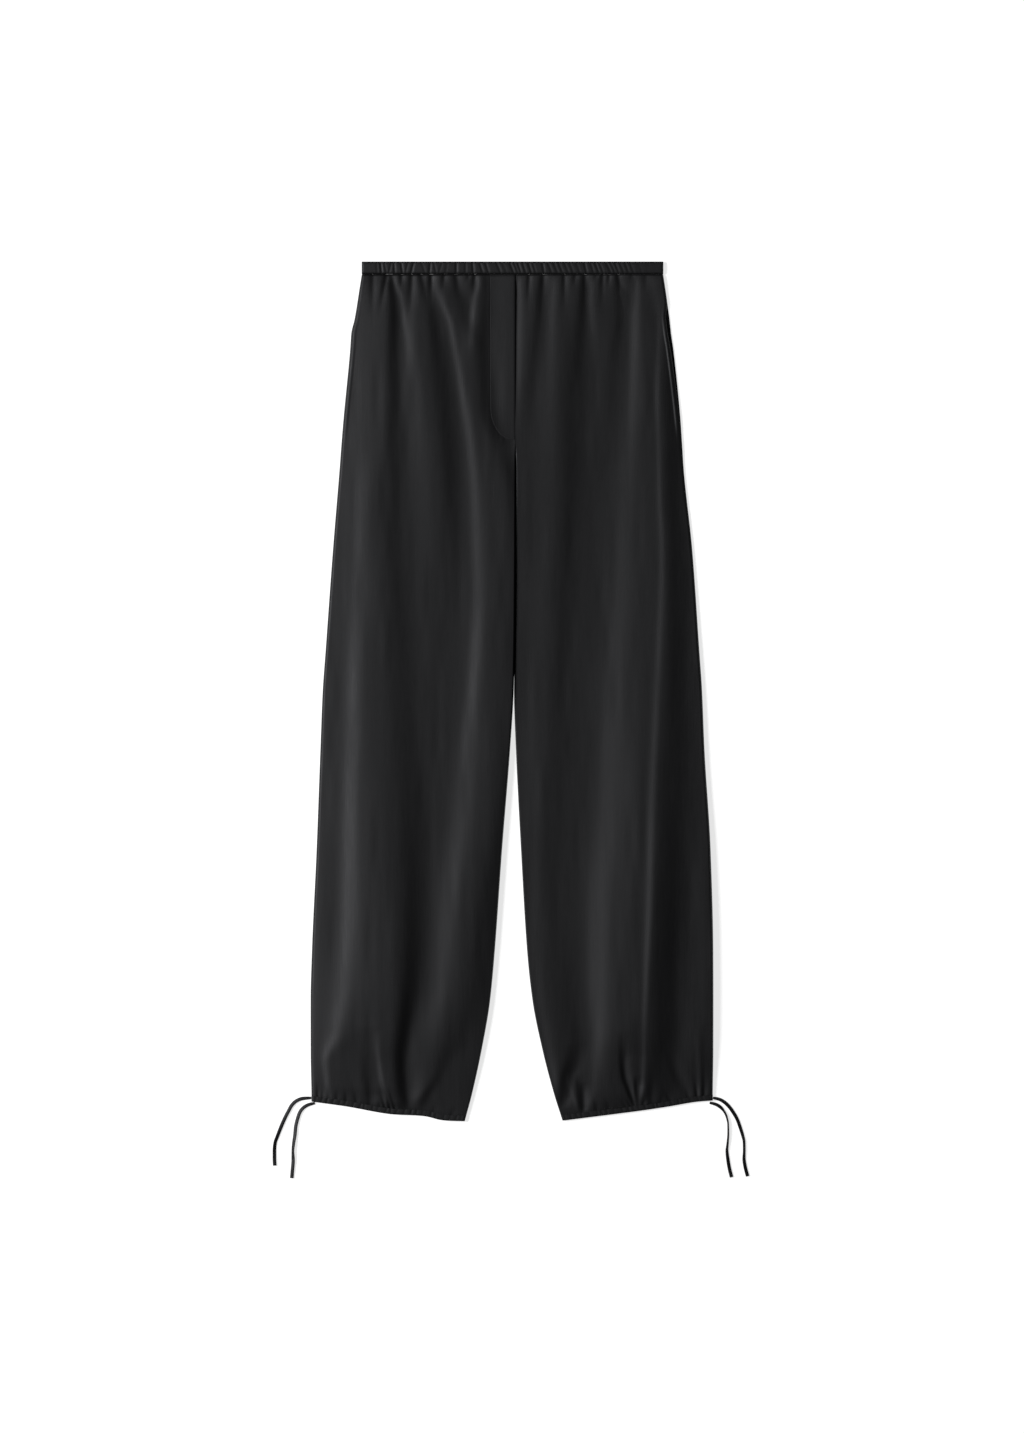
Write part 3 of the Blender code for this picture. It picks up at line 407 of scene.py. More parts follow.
RIGHT_FOLDS = {
    "side": fold(
        (504, 0, -174, 20, -147, 3), (491, 1.4, -174, 20, -146.5, 3.5),
        (473, 2.3, -175, 22, -143.5, 4.5), (449, 3.2, -175, 26, -142, 5),
        (413, 3.5, -174, 26, -143, 6.5), (352, 3.4, -171, 22, -143, 8),
        (292, 3.2, -175, 18, -143, 10), (231, 3.1, -183, 14, -143, 12),
        (110, 3.4, -189.5, 11.5, -138, 14), (-11, 3.9, -192, 11.5, -132, 18),
        (-132, 5.0, -195.5, 10.5, -125, 20), (-253, 5.8, -197, 12, -120.5, 15),
        (-350, 5.8, -203.5, 13, -123, 10.5), (-410, 4.6, -214.5, 11, -131, 7.5),
        (-446, 2.8, -226.5, 4.6, -137, 6), (-477, 2.1, -223.5, 3.2, -135, 5.5),
        (-503, 0, -221, 3, -133, 4),
    ),
    "hip_slope": fold(
        (504, 0, -240, 12, -95, 40), (473, 2.8, -240, 12, -95, 40), (394, 3.4, -240, 12, -92, 40),
        (267, 3.0, -240, 12, -85, 40), (171, 2.0, -240, 12, -85, 40), (50, 0.7, -240, 12, -85, 40),
        (-71, 0, -240, 12, -85, 40),
    ),
    "side_slope": fold(
        (-100, 0, -178, 16, -126, 20), (-253, 1.6, -170, 20, -120.5, 15),
        (-350, 2.6, -168, 20, -123, 10.5), (-410, 2.9, -170, 20, -131, 7),
        (-446, 3.2, -182, 20, -134, 4.4), (-477, 3.2, -178, 18, -132, 4.0),
        (-495, 2.4, -172, 14, -129.5, 3.5), (-507, 0, -168, 12, -128, 3.5),
    ),
    "side_valley": fold(
        (499, 0, -149, 2, -142, 3), (491, -0.6, -148, 2.5, -139.5, 3.5),
        (473, -0.9, -145.5, 3.5, -133, 3), (449, -1.0, -144.5, 5, -130, 3),
        (425, -0.6, -143, 6, -127, 4), (370, 0, -144, 6, -120, 6),
    ),
    "hem_dent": fold(
        (-405, 0, -184, 8, -162, 4), (-430, -1.1, -182, 8, -162.5, 3),
        (-450, -1.9, -179, 7, -160.5, 2.6), (-470, -2.4, -176, 6, -158, 2.4),
        (-485, -2.3, -173, 5, -154, 2.2), (-502, 0, -168, 4, -149, 2),
    ),
    "pleat_beside": fold(
        (504, 0, -118, 5, -104, 4), (491, 0.6, -118, 5.5, -102.5, 4.5),
        (473, 0.9, -119, 7, -99.5, 5.5), (449, 1.9, -125, 9.5, -96, 6),
        (413, 2.7, -124, 10.5, -90, 8), (352, 3.0, -117.5, 14, -82, 9.5),
        (292, 2.7, -111, 15, -77.5, 8.5), (231, 1.9, -108, 15, -74.5, 9),
        (110, 0.7, -100, 16, -74.5, 11), (-11, 0, -96, 18, -74, 15),
    ),
    "long_diagonal": fold(
        (504, 0, -88, 4, -70, 4), (491, 0.6, -89, 5, -68, 5), (473, 1.6, -85.5, 4.8, -62, 7),
        (449, 1.7, -76.5, 4.0, -56, 8), (413, 1.7, -69, 4.4, -38, 9), (352, 2.1, -59, 5.2, -30, 9),
        (292, 2.4, -50, 6.8, -12, 9), (231, 2.7, -44.5, 7.6, 8, 9), (110, 3.2, -41, 8, 20, 9),
        (-11, 3.8, -48, 9.5, 14, 10), (-132, 4.2, -58.5, 15, -2, 11),
        (-253, 4.6, -76.5, 14, -22, 15), (-350, 4.1, -84, 16, -38, 18),
        (-410, 3.2, -99, 17, -62, 18), (-446, 2.3, -105, 18, -84, 10),
        (-462, 2.0, -109, 16, -90, 7), (-477, 2.1, -114, 13, -97, 5.5),
        (-490, 2.2, -118, 9, -105, 5), (-507, 0, -120, 6, -111, 5),
    ),
    "beside_fly": fold(
        (504, 0, -40, 3, -33, 3), (491, 0.9, -41, 3.2, -31.5, 5), (473, 1.1, -45.5, 3.5, -31.5, 6),
        (449, 1.9, -48.5, 4, -33, 8), (425, 1.6, -49.5, 4.6, -35, 8), (405, 0.5, -51, 6, -36, 8),
        (385, 0, -52, 7, -36, 8),
    ),
    "hem_valley": fold(
        (-330, 0, -127, 7, -112, 9), (-386, -0.7, -131, 6, -114, 9), (-434, -0.7, -138, 4, -119, 8),
        (-477, -0.7, -137, 3, -118, 8), (-495, -0.5, -133, 2.8, -117, 7),
        (-509, 0, -131, 2.5, -117, 7),
    ),
}
LEFT_FOLDS = {
    "beside_fly": fold(
        (504, 0, 9.5, 3, 36, 3.5), (491, 0.8, 9, 3, 36, 3.5), (473, 0.85, 9, 3.5, 34.5, 4),
        (449, 1.0, 8.5, 4, 31.5, 4.5), (425, 1.1, 8, 4, 28.5, 5.5), (388, 1.0, 8, 4, 25, 6.5),
        (340, 0.4, 8, 4, 20, 7), (300, 0, 8, 5, 20, 7),
    ),
    "front_slope": fold(
        (504, 0, -30, 8, 55, 35), (473, 2.0, -30, 8, 55, 35), (340, 2.8, -30, 8, 55, 35),
        (267, 2.7, -30, 8, 52, 32), (171, 2.1, -30, 8, 48, 30), (50, 1.2, -30, 8, 42, 26),
        (-71, 0, -30, 8, 40, 24),
    ),
    "inner_pleat": fold(
        (504, 0, 51, 4, 88, 3.5), (491, 1.3, 50.5, 5, 88, 4), (473, 1.9, 49, 5.5, 86, 4.5),
        (449, 2.2, 47.5, 6.5, 84, 5.5), (425, 2.3, 47, 8, 82, 6.5), (388, 2.4, 47, 11, 78.5, 8),
        (352, 2.4, 46, 14, 75.5, 10.5), (292, 2.3, 42, 17, 74, 11.5),
        (231, 2.2, 40, 18, 71.5, 11.5), (171, 2.0, 38, 18, 67.5, 11), (50, 1.5, 31, 15, 60, 11),
        (-71, 1.4, 24, 12, 52, 13), (-192, 1.5, 25, 10, 48, 13), (-313, 1.5, 30, 9, 56, 15),
        (-386, 1.5, 37, 7, 67, 14), (-434, 2.0, 45, 7, 75, 9), (-468, 2.7, 51, 5, 69, 6),
        (-500, 0, 58, 4, 68, 4),
    ),
    "middle_pleat": fold(
        (504, 0, 98, 3.5, 129, 3), (491, 0.8, 96.5, 4, 129, 3.5), (473, 1.5, 95, 4.5, 130.5, 5),
        (449, 1.7, 96.5, 6, 130, 5), (425, 1.3, 100, 6.5, 127, 6), (388, 0.8, 103, 7, 122, 7),
        (340, 0.6, 103, 8, 120, 8), (280, 0, 103, 9, 118, 9),
    ),
    "long_ridge": fold(
        (504, 0, 151.5, 3, 200, 6), (491, 1.2, 151.5, 4, 200, 6), (473, 2.0, 150.5, 6, 202, 6),
        (449, 2.6, 149, 7, 202, 6), (413, 3.0, 148, 7.5, 200, 7), (352, 3.3, 146, 9, 199, 9),
        (292, 3.5, 142.5, 11, 198, 11), (231, 3.8, 140, 14, 199, 12),
        (110, 4.4, 130.5, 18, 203, 14), (-11, 4.9, 122, 20, 198, 16), (-132, 5.7, 114, 20, 192, 20),
        (-253, 6.7, 105, 17, 188, 18), (-350, 6.4, 103.5, 14, 184, 16),
        (-410, 5.8, 105, 12, 184, 14), (-446, 4.6, 102, 11, 183, 14), (-477, 3.0, 98, 9, 182, 12),
        (-495, 1.7, 94.5, 6, 180, 9), (-507, 0, 92, 5, 178, 8),
    ),
    "side_crease": fold(
        (504, 0, 171, 8, 200, 5), (491, 1.3, 171, 8, 200, 5), (473, 1.2, 175, 7, 200, 5),
        (449, 0.7, 180, 4, 198, 4.5), (413, 0.7, 178.5, 3, 190, 5), (352, 0.8, 176, 3.2, 189, 5),
        (292, 1.0, 177, 3.2, 190, 7), (231, 1.1, 178, 3.4, 193, 8), (171, 1.3, 181, 4, 198, 9),
        (110, 1.3, 179.5, 4, 198, 10), (-11, 1.9, 174.5, 5, 206, 18),
        (-132, 2.4, 168.5, 5.8, 206, 20), (-253, 2.9, 165, 5.2, 202, 20),
        (-350, 2.2, 161, 4.2, 188, 14), (-410, 1.4, 159, 3.2, 180, 12),
        (-446, 1.4, 158.5, 3, 172, 8), (-477, 1.4, 157, 2.5, 166, 5), (-501, 0, 153, 2.5, 159, 3.5),
    ),
    "ridge_slope": fold(
        (200, 0, 152, 16, 192, 14), (50, 1.1, 147, 16, 204, 16), (-71, 1.9, 144, 18, 204, 18),
        (-253, 2.3, 139, 17, 204, 18), (-386, 2.0, 134, 16, 200, 16), (-440, 0, 124, 12, 184, 14),
    ),
    "outer_swell": fold(
        (360, 0, 194, 12, 300, 12), (231, 1.8, 200, 14, 300, 12), (110, 3.0, 207, 17, 300, 12),
        (-11, 4.1, 211, 20, 300, 12), (-132, 5.0, 213, 23, 300, 12), (-313, 5.6, 212, 24, 300, 12),
        (-410, 4.7, 208, 22, 300, 12), (-495, 0, 204, 18, 300, 12),
    ),
    "inner_valley": fold(
        (-425, 0, 72, 5, 88, 8), (-446, -1.2, 68, 5, 82, 8), (-468, -2.0, 62, 4.5, 74, 6),
        (-490, -1.9, 59, 4, 70, 4.5), (-505, 0, 58, 3.5, 67, 4),
    ),
    "inner_hem_pleat": fold(
        (-461, 0, 66, 3.5, 78, 3), (-478, 1.0, 69.5, 3, 79.5, 2.4), (-495, 1.1, 75.5, 2.6, 81, 2),
        (-509, 0, 78.5, 2, 83, 2),
    ),
    "inner_hem_valley": fold(
        (-472, 0, 83, 2.4, 90, 4), (-486, -1.3, 83.5, 2, 90, 4), (-503, -1.6, 84, 2, 90, 4),
        (-511, 0, 84, 2, 90, 4),
    ),
    "fan_valley": fold(
        (-410, 0, 129, 4, 140, 8), (-432, -1.1, 131.5, 3, 140, 6),
        (-450, -2.1, 132, 2.2, 139.5, 4.5), (-466, -2.6, 134, 1.9, 141, 4),
        (-482, -2.6, 139.5, 1.8, 145, 3.2), (-497, -2.3, 145, 1.6, 149, 2.4),
        (-507, 0, 147.5, 1.6, 150.5, 2.2),
    ),
    "crease_valley": fold(
        (-464, 0, 148.5, 1.6, 155, 4), (-478, -1.5, 149, 1.4, 156.5, 4.4),
        (-496, -1.6, 150.5, 1.4, 156.5, 4), (-508, 0, 151.5, 1.4, 155, 3),
    ),
    "outer_valley": fold(
        (-430, 0, 186, 4, 197, 6), (-452, -0.9, 191, 4, 202, 6), (-474, -1.1, 200, 4, 211, 5),
        (-495, 0, 209, 4, 218, 4),
    ),
    "outer_pleat": fold(
        (-395, 0, 221, 3.5, 229, 4), (-430, 0.7, 223, 3.2, 229, 3), (-460, 0.9, 225, 3.2, 230, 2.2),
        (-482, 0.8, 226, 2.8, 231, 2), (-498, 0, 226, 2, 231, 2),
    ),
}


def fold_lift(fold_rows, x, y):
    """Height of a fold: its top's height times (step at the left flank - step at the right flank),
    where a step is half of 1 + tanh of the distance over the softness."""
    here = {name: smooth(y, fold_rows["y"], fold_rows[name]) for name in fold_rows.dtype.names[1:]}
    rise = np.tanh((x - here["left"]) / here["left_soft"])
    sink = np.tanh((x - here["right"]) / here["right_soft"])
    inside = (y < fold_rows["y"].max()) & (y > fold_rows["y"].min())
    return np.where(inside, here["height"] * 0.5 * (rise - sink), 0.0)


print("folds:", len(RIGHT_FOLDS), "on the right leg,", len(LEFT_FOLDS), "on the left leg")

# %% [markdown]
# ## Gathers
#
# At the waist the cloth is drawn in by elastic, and at the hem by the tie. Between the stitches it
# stands up a little, and where it is pinched a narrow valley starts at the seam and dies out into the
# leg, no two alike. So the gathers are made the other way round from the folds: the cloth puffs up,
# and each valley is cut into it. A valley is its place on the seam, how far it drifts sideways on its
# way, its depth, its reach and its half width.

# %% Gather tables
LOPSIDED = 1.7


def valleys(*rows):
    return table("x drift depth reach width", *rows)


RIGHT_WAIST_VALLEYS = valleys(
    (-168.3, 0, 1.1, 34, 2.6), (-151.5, -5, 1.6, 30, 2.2), (-145.8, 4, 1.1, 20, 2.4),
    (-133.5, 0, 1.3, 12, 1.8), (-121, -1, 1.3, 34, 2.6), (-109.8, 6, 1.2, 28, 3.2),
    (-97.6, 0, 1.7, 22, 2.2), (-82, -1, 1.1, 14, 2.0), (-67.5, 3, 1.0, 24, 3.0),
    (-52.3, -1, 0.8, 6, 1.5), (-44.8, -1, 1.3, 17, 2.2),
)
LEFT_WAIST_VALLEYS = valleys(
    (20.7, -1, 0.9, 26, 1.8), (38, -2, 1.2, 34, 2.8), (63.2, 0, 1.0, 30, 2.2),
    (76.5, -1, 0.8, 10, 1.8), (88, 0, 1.3, 34, 2.8), (102, -1, 0.5, 6, 1.6),
    (109.8, -1, 1.0, 30, 2.2), (117.5, -1, 0.9, 12, 1.7), (128, 4, 1.2, 28, 2.6),
    (145.2, 0, 0.5, 6, 1.8), (161.7, 0, 0.5, 18, 3.0),
)
RIGHT_HEM_VALLEYS = valleys(
    (-234.8, 0, 1.0, 13, 1.5), (-229.3, 0, 0.7, 9, 1.4), (-221.3, 0, 0.6, 12, 1.5),
    (-211.8, 0, 0.6, 9, 1.5), (-200.4, 0, 0.6, 9, 1.5), (-187.8, -2, 0.6, 12, 1.6),
    (-171.8, -1, 0.9, 24, 3.4), (-159.8, 0, 0.6, 7, 1.5), (-153.3, -3, 1.4, 10, 1.2),
    (-147.3, -3, 2.0, 13, 1.3), (-141.6, -4, 2.1, 14, 1.2), (-94.8, 2, 0.3, 8, 2.0),
    (-72.8, 2, 0.4, 7, 2.0),
)
LEFT_HEM_VALLEYS = valleys(
    (102.7, -2, 0.7, 12, 1.8), (117.2, -2, 0.6, 9, 1.8), (138.2, -6, 0.8, 9, 1.5),
    (143.7, -5, 1.1, 8, 1.2), (158.7, 1, 1.2, 8, 1.5), (168.2, 0, 1.0, 28, 3.4),
    (180.2, 1, 0.4, 8, 1.6), (191.2, -6, 0.6, 13, 2.0), (212.8, -2, 0.5, 11, 1.6),
    (223.5, -1.5, 1.4, 15, 1.3), (231.7, 0, 1.2, 20, 1.6),
)


def valley_lift(rows, x, away):
    """Minus the valleys of one seam: depth times exp(-|distance across / width| ** 1.6) times
    exp(-(distance from the seam / reach) ** 2). A valley widens by half over its reach, and it is
    LOPSIDED, because the cloth folds over to one side."""
    away = np.maximum(away, 0.0)
    lift = np.zeros_like(x)
    for row in rows:
        along = away / row["reach"]
        centre = row["x"] + row["drift"] * np.minimum(along, 2.0)
        side = np.where(x > centre, LOPSIDED, 1.0)
        across = np.abs(x - centre) / (row["width"] * side * (1 + 0.5 * along))
        lift -= row["depth"] * np.exp(-(across ** 1.6)) * bell(along)
    return lift


print("valleys:", len(RIGHT_WAIST_VALLEYS) + len(LEFT_WAIST_VALLEYS), "at the waist,",
      len(RIGHT_HEM_VALLEYS) + len(LEFT_HEM_VALLEYS), "at the hems")

# %% [markdown]
# ## The height of the front cloth
#
# The front lies on the back, so its height is a sum: the two walls, a slow swell down the leg, the
# folds, the puff and the valleys of the gathers, and a little unevenness. At the side seams the cloth
# rolls down to meet the back. Below the crotch it does so at the inner seams too, more sharply. Under
# the fly it lies a wall lower, beside the fly's free edge it sinks to the centre seam in a groove,
# and over a pocket facing it lies a wall higher.

# %% Height of a front leg
LOFT = table("down height", (0, 2.0), (0.06, 3.4), (0.5, 4.0), (0.9, 6.0), (1, 3.0))
SAG = table("down height", (0, 0.0), (0.025, 3.2), (0.3, 3.4), (0.5, 2.2), (0.8, 1.2), (1, 0.0))
LEAST_LIFT, AIR = 0.3, 0.3
WAIST_PUFF, WAIST_PUFF_REACH = 1.3, 34.0
HEM_PUFF, HEM_PUFF_REACH = 0.6, 24.0
WAIST_DIP, HEM_DIP, DIP_REACH = 1.2, 0.1, 1.3
SIDE_ROLL, SIDE_SLOPE = 3.5, 15.0
INNER_SLOPE = 8.0
CROTCH_TOP, CROTCH_BOTTOM = 292.0, 272.0
FLY_LEFT, FLY_RIGHT, FLY_TIP = -26.7, 4.2, 3.5
FLY_BOTTOM, FLY_CORNER, FLY_MARGIN = 303.7, 40.0, 14.0
FLY_LOWER, FLY_EDGE = 0.7, 3.0
GROOVE_EDGE, GROOVE_SLOPE, GROOVE_DEPTH, GROOVE_FADE = 6.5, 12.0, 0.75, 90.0
POCKET_TOP, POCKET_BOTTOM, FACING_MARGIN, FACING_WIDTH = 473.0, 300.0, 14.0, 16.0
MOUTH_WIDTH, MOUTH_SOFT, MOUTH_FADE_TOP, MOUTH_FADE_BOTTOM = 4.5, 2.5, 70.0, 30.0
GAPE_OPENS, GAPE_POWER, EDGE_POWER = 0.15, 0.8, 8
CALM_WAIST, CALM_HEM = 30.0, 20.0
SLOW, SLOW_CELL = 0.35, (26, 120)
FINE, FINE_CELL = 0.14, (9, 60)

SIDES = {
    "right": dict(sign=-1.0, folds=RIGHT_FOLDS, waist=RIGHT_WAIST_VALLEYS, hem=RIGHT_HEM_VALLEYS,
                  side_share=(0.97, 0.58), inner_roll=2.0, inner_share=0.92, sag=0.0,
                  gape=0.3, mouth=0.3, seed=11),
    "left": dict(sign=1.0, folds=LEFT_FOLDS, waist=LEFT_WAIST_VALLEYS, hem=LEFT_HEM_VALLEYS,
                 side_share=(0.96, 0.96), inner_roll=1.2, inner_share=1.0, sag=1.0,
                 gape=4.6, mouth=1.0, seed=23),
}


def roll(away, radius):
    """A quarter circle: 0 on the edge, 1 from the radius inwards."""
    t = np.clip(away / radius, 0.0, 1.0)
    return np.sqrt(1 - (1 - t) ** 2)


def edge_height(away, radius, slope, share):
    """A rounded edge that carries a share of the height. The rest comes by 1 - exp(-away / slope)."""
    return roll(away, radius) * blend(share, 1.0, 1 - np.exp(-away / slope))


def fly_edge(y):
    """x of the fly's stitched edge, straight down and then on a quarter circle to the centre seam."""
    t = np.clip((FLY_BOTTOM + FLY_CORNER - y) / FLY_CORNER, 0.0, 1.0)
    return blend(FLY_LEFT, FLY_RIGHT - FLY_TIP, 1 - np.sqrt(1 - t * t))


def fly_dip(side, x, y, under_fly):
    """The cloth sinks a little towards the stitched edge, and then by a wall to pass under the fly.
    On the other leg it sinks in a groove beside the fly's free edge."""
    if side == "left":
        deep = GROOVE_DEPTH * ease((y - FLY_BOTTOM) / GROOVE_FADE)
        return deep * np.exp(-np.maximum(0.0, x - GROOVE_EDGE) / GROOVE_SLOPE)
    inside, above = x - fly_edge(y), y - FLY_BOTTOM
    towards = FLY_LOWER * ease(inside / FLY_MARGIN + 1) * ease(above / FLY_MARGIN + 1)
    return towards + under_fly * (CLOTH + SEAM_GAP) * ease(inside / FLY_EDGE) * ease(above / FLY_EDGE)


def facing_lift(y):
    from_top = ease((POCKET_TOP + 2 * FACING_MARGIN - y) / FACING_MARGIN)
    from_bottom = ease((y - POCKET_BOTTOM + 2 * FACING_MARGIN) / FACING_MARGIN)
    return (WALL + SEAM_GAP) * from_top * from_bottom


def mouth_fold(side, y, from_side):
    """The front's edge is turned in along the pocket mouth, so it stands higher there."""
    from_top = ease((POCKET_TOP - y) / MOUTH_FADE_TOP)
    from_bottom = ease((y - POCKET_BOTTOM) / MOUTH_FADE_BOTTOM)
    near = ease((MOUTH_WIDTH + MOUTH_SOFT - from_side) / MOUTH_SOFT)
    return SIDES[side]["mouth"] * from_top * from_bottom * near


def gape(side, y):
    """How far the front's edge stands back in the pocket mouth."""
    t = np.clip((POCKET_TOP - y) / (POCKET_TOP - POCKET_BOTTOM), 0.0, 1.0)
    return SIDES[side]["gape"] * ease(t / GAPE_OPENS) * (1 - t) ** GAPE_POWER


def front_top(side, u, v, under_fly=True):
    """Place and height of the outer side of a front leg's cloth, in millimetres."""
    made = SIDES[side]
    x, y, width = leg_place(side, u, v)
    from_side, from_inner = (1 - u) * width, u * width
    from_waist, from_hem = LEG_TOP - y, (1 - v) * blend(INNER_LENGTH, SIDE_LENGTH, u)
    lift = smooth(v, LOFT["down"], LOFT["height"])
    lift = lift + sum(fold_lift(rows, x, y) for rows in made["folds"].values())
    lift = lift + valley_lift(made["waist"], x, from_waist) + valley_lift(made["hem"], x, from_hem)
    lift = lift + WAIST_PUFF * bell(from_waist / WAIST_PUFF_REACH)
    lift = lift + HEM_PUFF * bell(from_hem / HEM_PUFF_REACH)
    lift = lift - made["sag"] * smooth(v, SAG["down"], SAG["height"])
    calm = ease(from_waist / CALM_WAIST) * ease(from_hem / CALM_HEM)
    lift = lift + calm * SLOW * unevenness(x, y, *SLOW_CELL, made["seed"])
    lift = lift + calm * FINE * unevenness(x, y, *FINE_CELL, made["seed"] + 1)
    lift = lift - fly_dip(side, x, y, under_fly)
    crotch = ease((CROTCH_TOP - y) / (CROTCH_TOP - CROTCH_BOTTOM))
    edge = edge_height(from_side, SIDE_ROLL, SIDE_SLOPE, blend(*made["side_share"], v))
    inner_edge = edge_height(from_inner, made["inner_roll"], INNER_SLOPE, made["inner_share"])
    edge = edge * blend(1.0, inner_edge, crotch)
    dip = WAIST_DIP * bell(from_waist / DIP_REACH) + HEM_DIP * bell(from_hem / DIP_REACH)
    high = edge * (np.maximum(LEAST_LIFT, lift - dip) + CLOTH + AIR)
    z = WALL + SEAM_GAP + np.hypot(high, facing_lift(y)) + mouth_fold(side, y, from_side)
    return x - made["sign"] * gape(side, y) * u ** EDGE_POWER, y, z


def spaced(*runs):
    """Places from 0 to 1 with a different number of steps in each run, as (end, steps)."""
    places, start = [np.zeros(1)], 0.0
    for end, steps in runs:
        places.append(np.linspace(start, end, steps + 1)[1:])
        start = end
    return np.concatenate(places)


LEG_ROWS = spaced((0.006, 8), (0.06, 38), (0.15, 26), (0.86, 116), (0.95, 42), (0.994, 36), (1.0, 7))
LEG_COLUMNS = spaced((0.012, 7), (0.04, 6), (0.96, 118), (0.985, 6), (1.0, 7))
print("front leg grid:", len(LEG_ROWS), "x", len(LEG_COLUMNS))

# %% [markdown]
# ## From a surface to a wall
#
# A cloth wall needs a second grid under the first. Moving each point straight down would make the
# wall thin where the cloth stands steep, so the points move along the surface's own normals. The
# normal at a point is the cross product of the two directions in which the grid runs there.

# %% Walls and pieces


def inside_of(outer):
    """The outer grid moved down by the cloth's thickness along its normals. Its ends keep their y."""
    across, down = np.gradient(outer, axis=1), np.gradient(outer, axis=0)
    normal = np.cross(across, down)
    normal /= np.maximum(np.linalg.norm(normal, axis=-1, keepdims=True), 1e-9)
    normal *= np.where(normal[..., 2:] < 0, -1.0, 1.0)
    inner = outer - CLOTH * normal
    inner[[0, -1], :, 1] = outer[[0, -1], :, 1]
    return inner


def cloth_piece(node, outer, inner):
    """A cloth wall that stands for a solid of the frame."""
    piece = cloth_wall(node + "_cloth", outer, inner)
    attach(piece, ROOT)
    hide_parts(node)
    down, across = np.diff(outer, axis=0)[:, 1:], np.diff(outer, axis=1)[1:]
    area = np.linalg.norm(np.cross(down, across), axis=-1).sum() * MM * MM
    print(piece.name, len(piece.data.polygons) * 2, "triangles, outer side", round(area, 4), "m2")
    return piece


# %% [markdown]
# ## The front legs
#
# The two fronts are the largest pieces and carry all the folds. Their grid is close at the waist and
# the hem, where the gathers are, and wider along the leg, where the folds are long.

# %% Front legs
u, v = np.meshgrid(LEG_COLUMNS, LEG_ROWS)
pieces = {}
for side in SIDES:
    outer = np.stack(front_top(side, u, v), axis=-1)
    pieces[side + "_front"] = cloth_piece(side + "_front_leg", outer, inside_of(outer))

# %% [markdown]
# ## The back legs
#
# The backs lie under the fronts and rest flat on the floor. Their rims rise a little, so that the
# rolled edge of the front meets them in a side seam. The elastic and the tie gather the back too, so
# shallow grooves run up and down from its seams, on the side that rests on the floor. Above the
# crotch the centre back seam lies a little beside the centre front one, as two seams that nothing
# pins together do, so that the lit floor doesn't shine up through both.

# %% Back legs
BACK_ROWS = spaced((0.06, 30), (0.9, 70), (1.0, 40))
BACK_COLUMNS = spaced((0.04, 6), (0.96, 80), (1.0, 6))
BACK_RIM = 0.4
BACK_GROOVE, BACK_GATHER_SPACING, BACK_REACH = 0.35, 13.0, 45.0
BACK_WANDER, BACK_CELL = 6.0, (30, 200)
LEGS_MEET = 0.1
BACK_SEAM_ASIDE = 2.5
LEGS_PART, LEGS_PART_OVER = 16.0, 40.0


def back_bottom(side, u, v):
    """The back's under side: 0 where it rests, up to BACK_RIM at the seams, with grooves that are
    0.5 - 0.5 cos of an uneven phase across, and fade away from the waist and the hem."""
    x, y, width = leg_place(side, u, v)
    wander = BACK_WANDER * unevenness(x, y, *BACK_CELL, SIDES[side]["seed"] + 5)
    phase = (x + wander) / BACK_GATHER_SPACING
    groove = 0.5 - 0.5 * np.cos(2 * np.pi * phase)
    from_waist, from_hem = LEG_TOP - y, y - HEM_INNER_Y
    fade = np.exp(-from_waist / BACK_REACH) + np.exp(-from_hem / BACK_REACH)
    rim = 1 - roll(np.minimum(u, 1 - u) * width, SIDE_ROLL)
    z = BACK_RIM * rim + (1 - rim) * BACK_GROOVE * np.minimum(fade, 1.0) * groove
    joined = ease((y - LEGS_PART) / LEGS_PART_OVER)
    aside = BACK_SEAM_ASIDE + SIDES[side]["sign"] * LEGS_MEET
    return x - joined * aside * (1 - u) ** EDGE_POWER, y, z


u, v = np.meshgrid(BACK_COLUMNS, BACK_ROWS)
for side in SIDES:
    outer = np.stack(back_bottom(side, u, v), axis=-1)
    inner = outer + np.array([0.0, 0.0, CLOTH])
    pieces[side + "_back"] = cloth_piece(side + "_back_leg", outer, inner)

# %% [markdown]
# ## Casings
#
# A casing is a folded strip of cloth that is sewn on as a tunnel. Elastic runs in the one at the
# waist, and the tie in the ones at the hems. What they draw in shows as ruches: soft bumps with a
# narrow valley between them. Seen from its end a casing is a soft pillow, high in the middle of its
# height. The front and the back half meet at the side seams.

# %% Casings
RUCHE_WIDTH = 1.5
END_ROLL, END_SHARE = 3.0, 0.5


def uneven_ruches(width, count, seed):
    """Valleys over a width, up to a quarter of the spacing off their places, with a lean of up to
    1 mm either way and a depth from 0.4 to 1."""
    chance = np.random.default_rng(seed)
    x = (np.arange(count) + 0.5 + chance.uniform(-0.25, 0.25, count)) * width / count
    lean = chance.uniform(-1.0, 1.0, count)
    depth = chance.uniform(0.4, 1.0, count)
    return table("x lean depth", *zip(x, lean, depth))


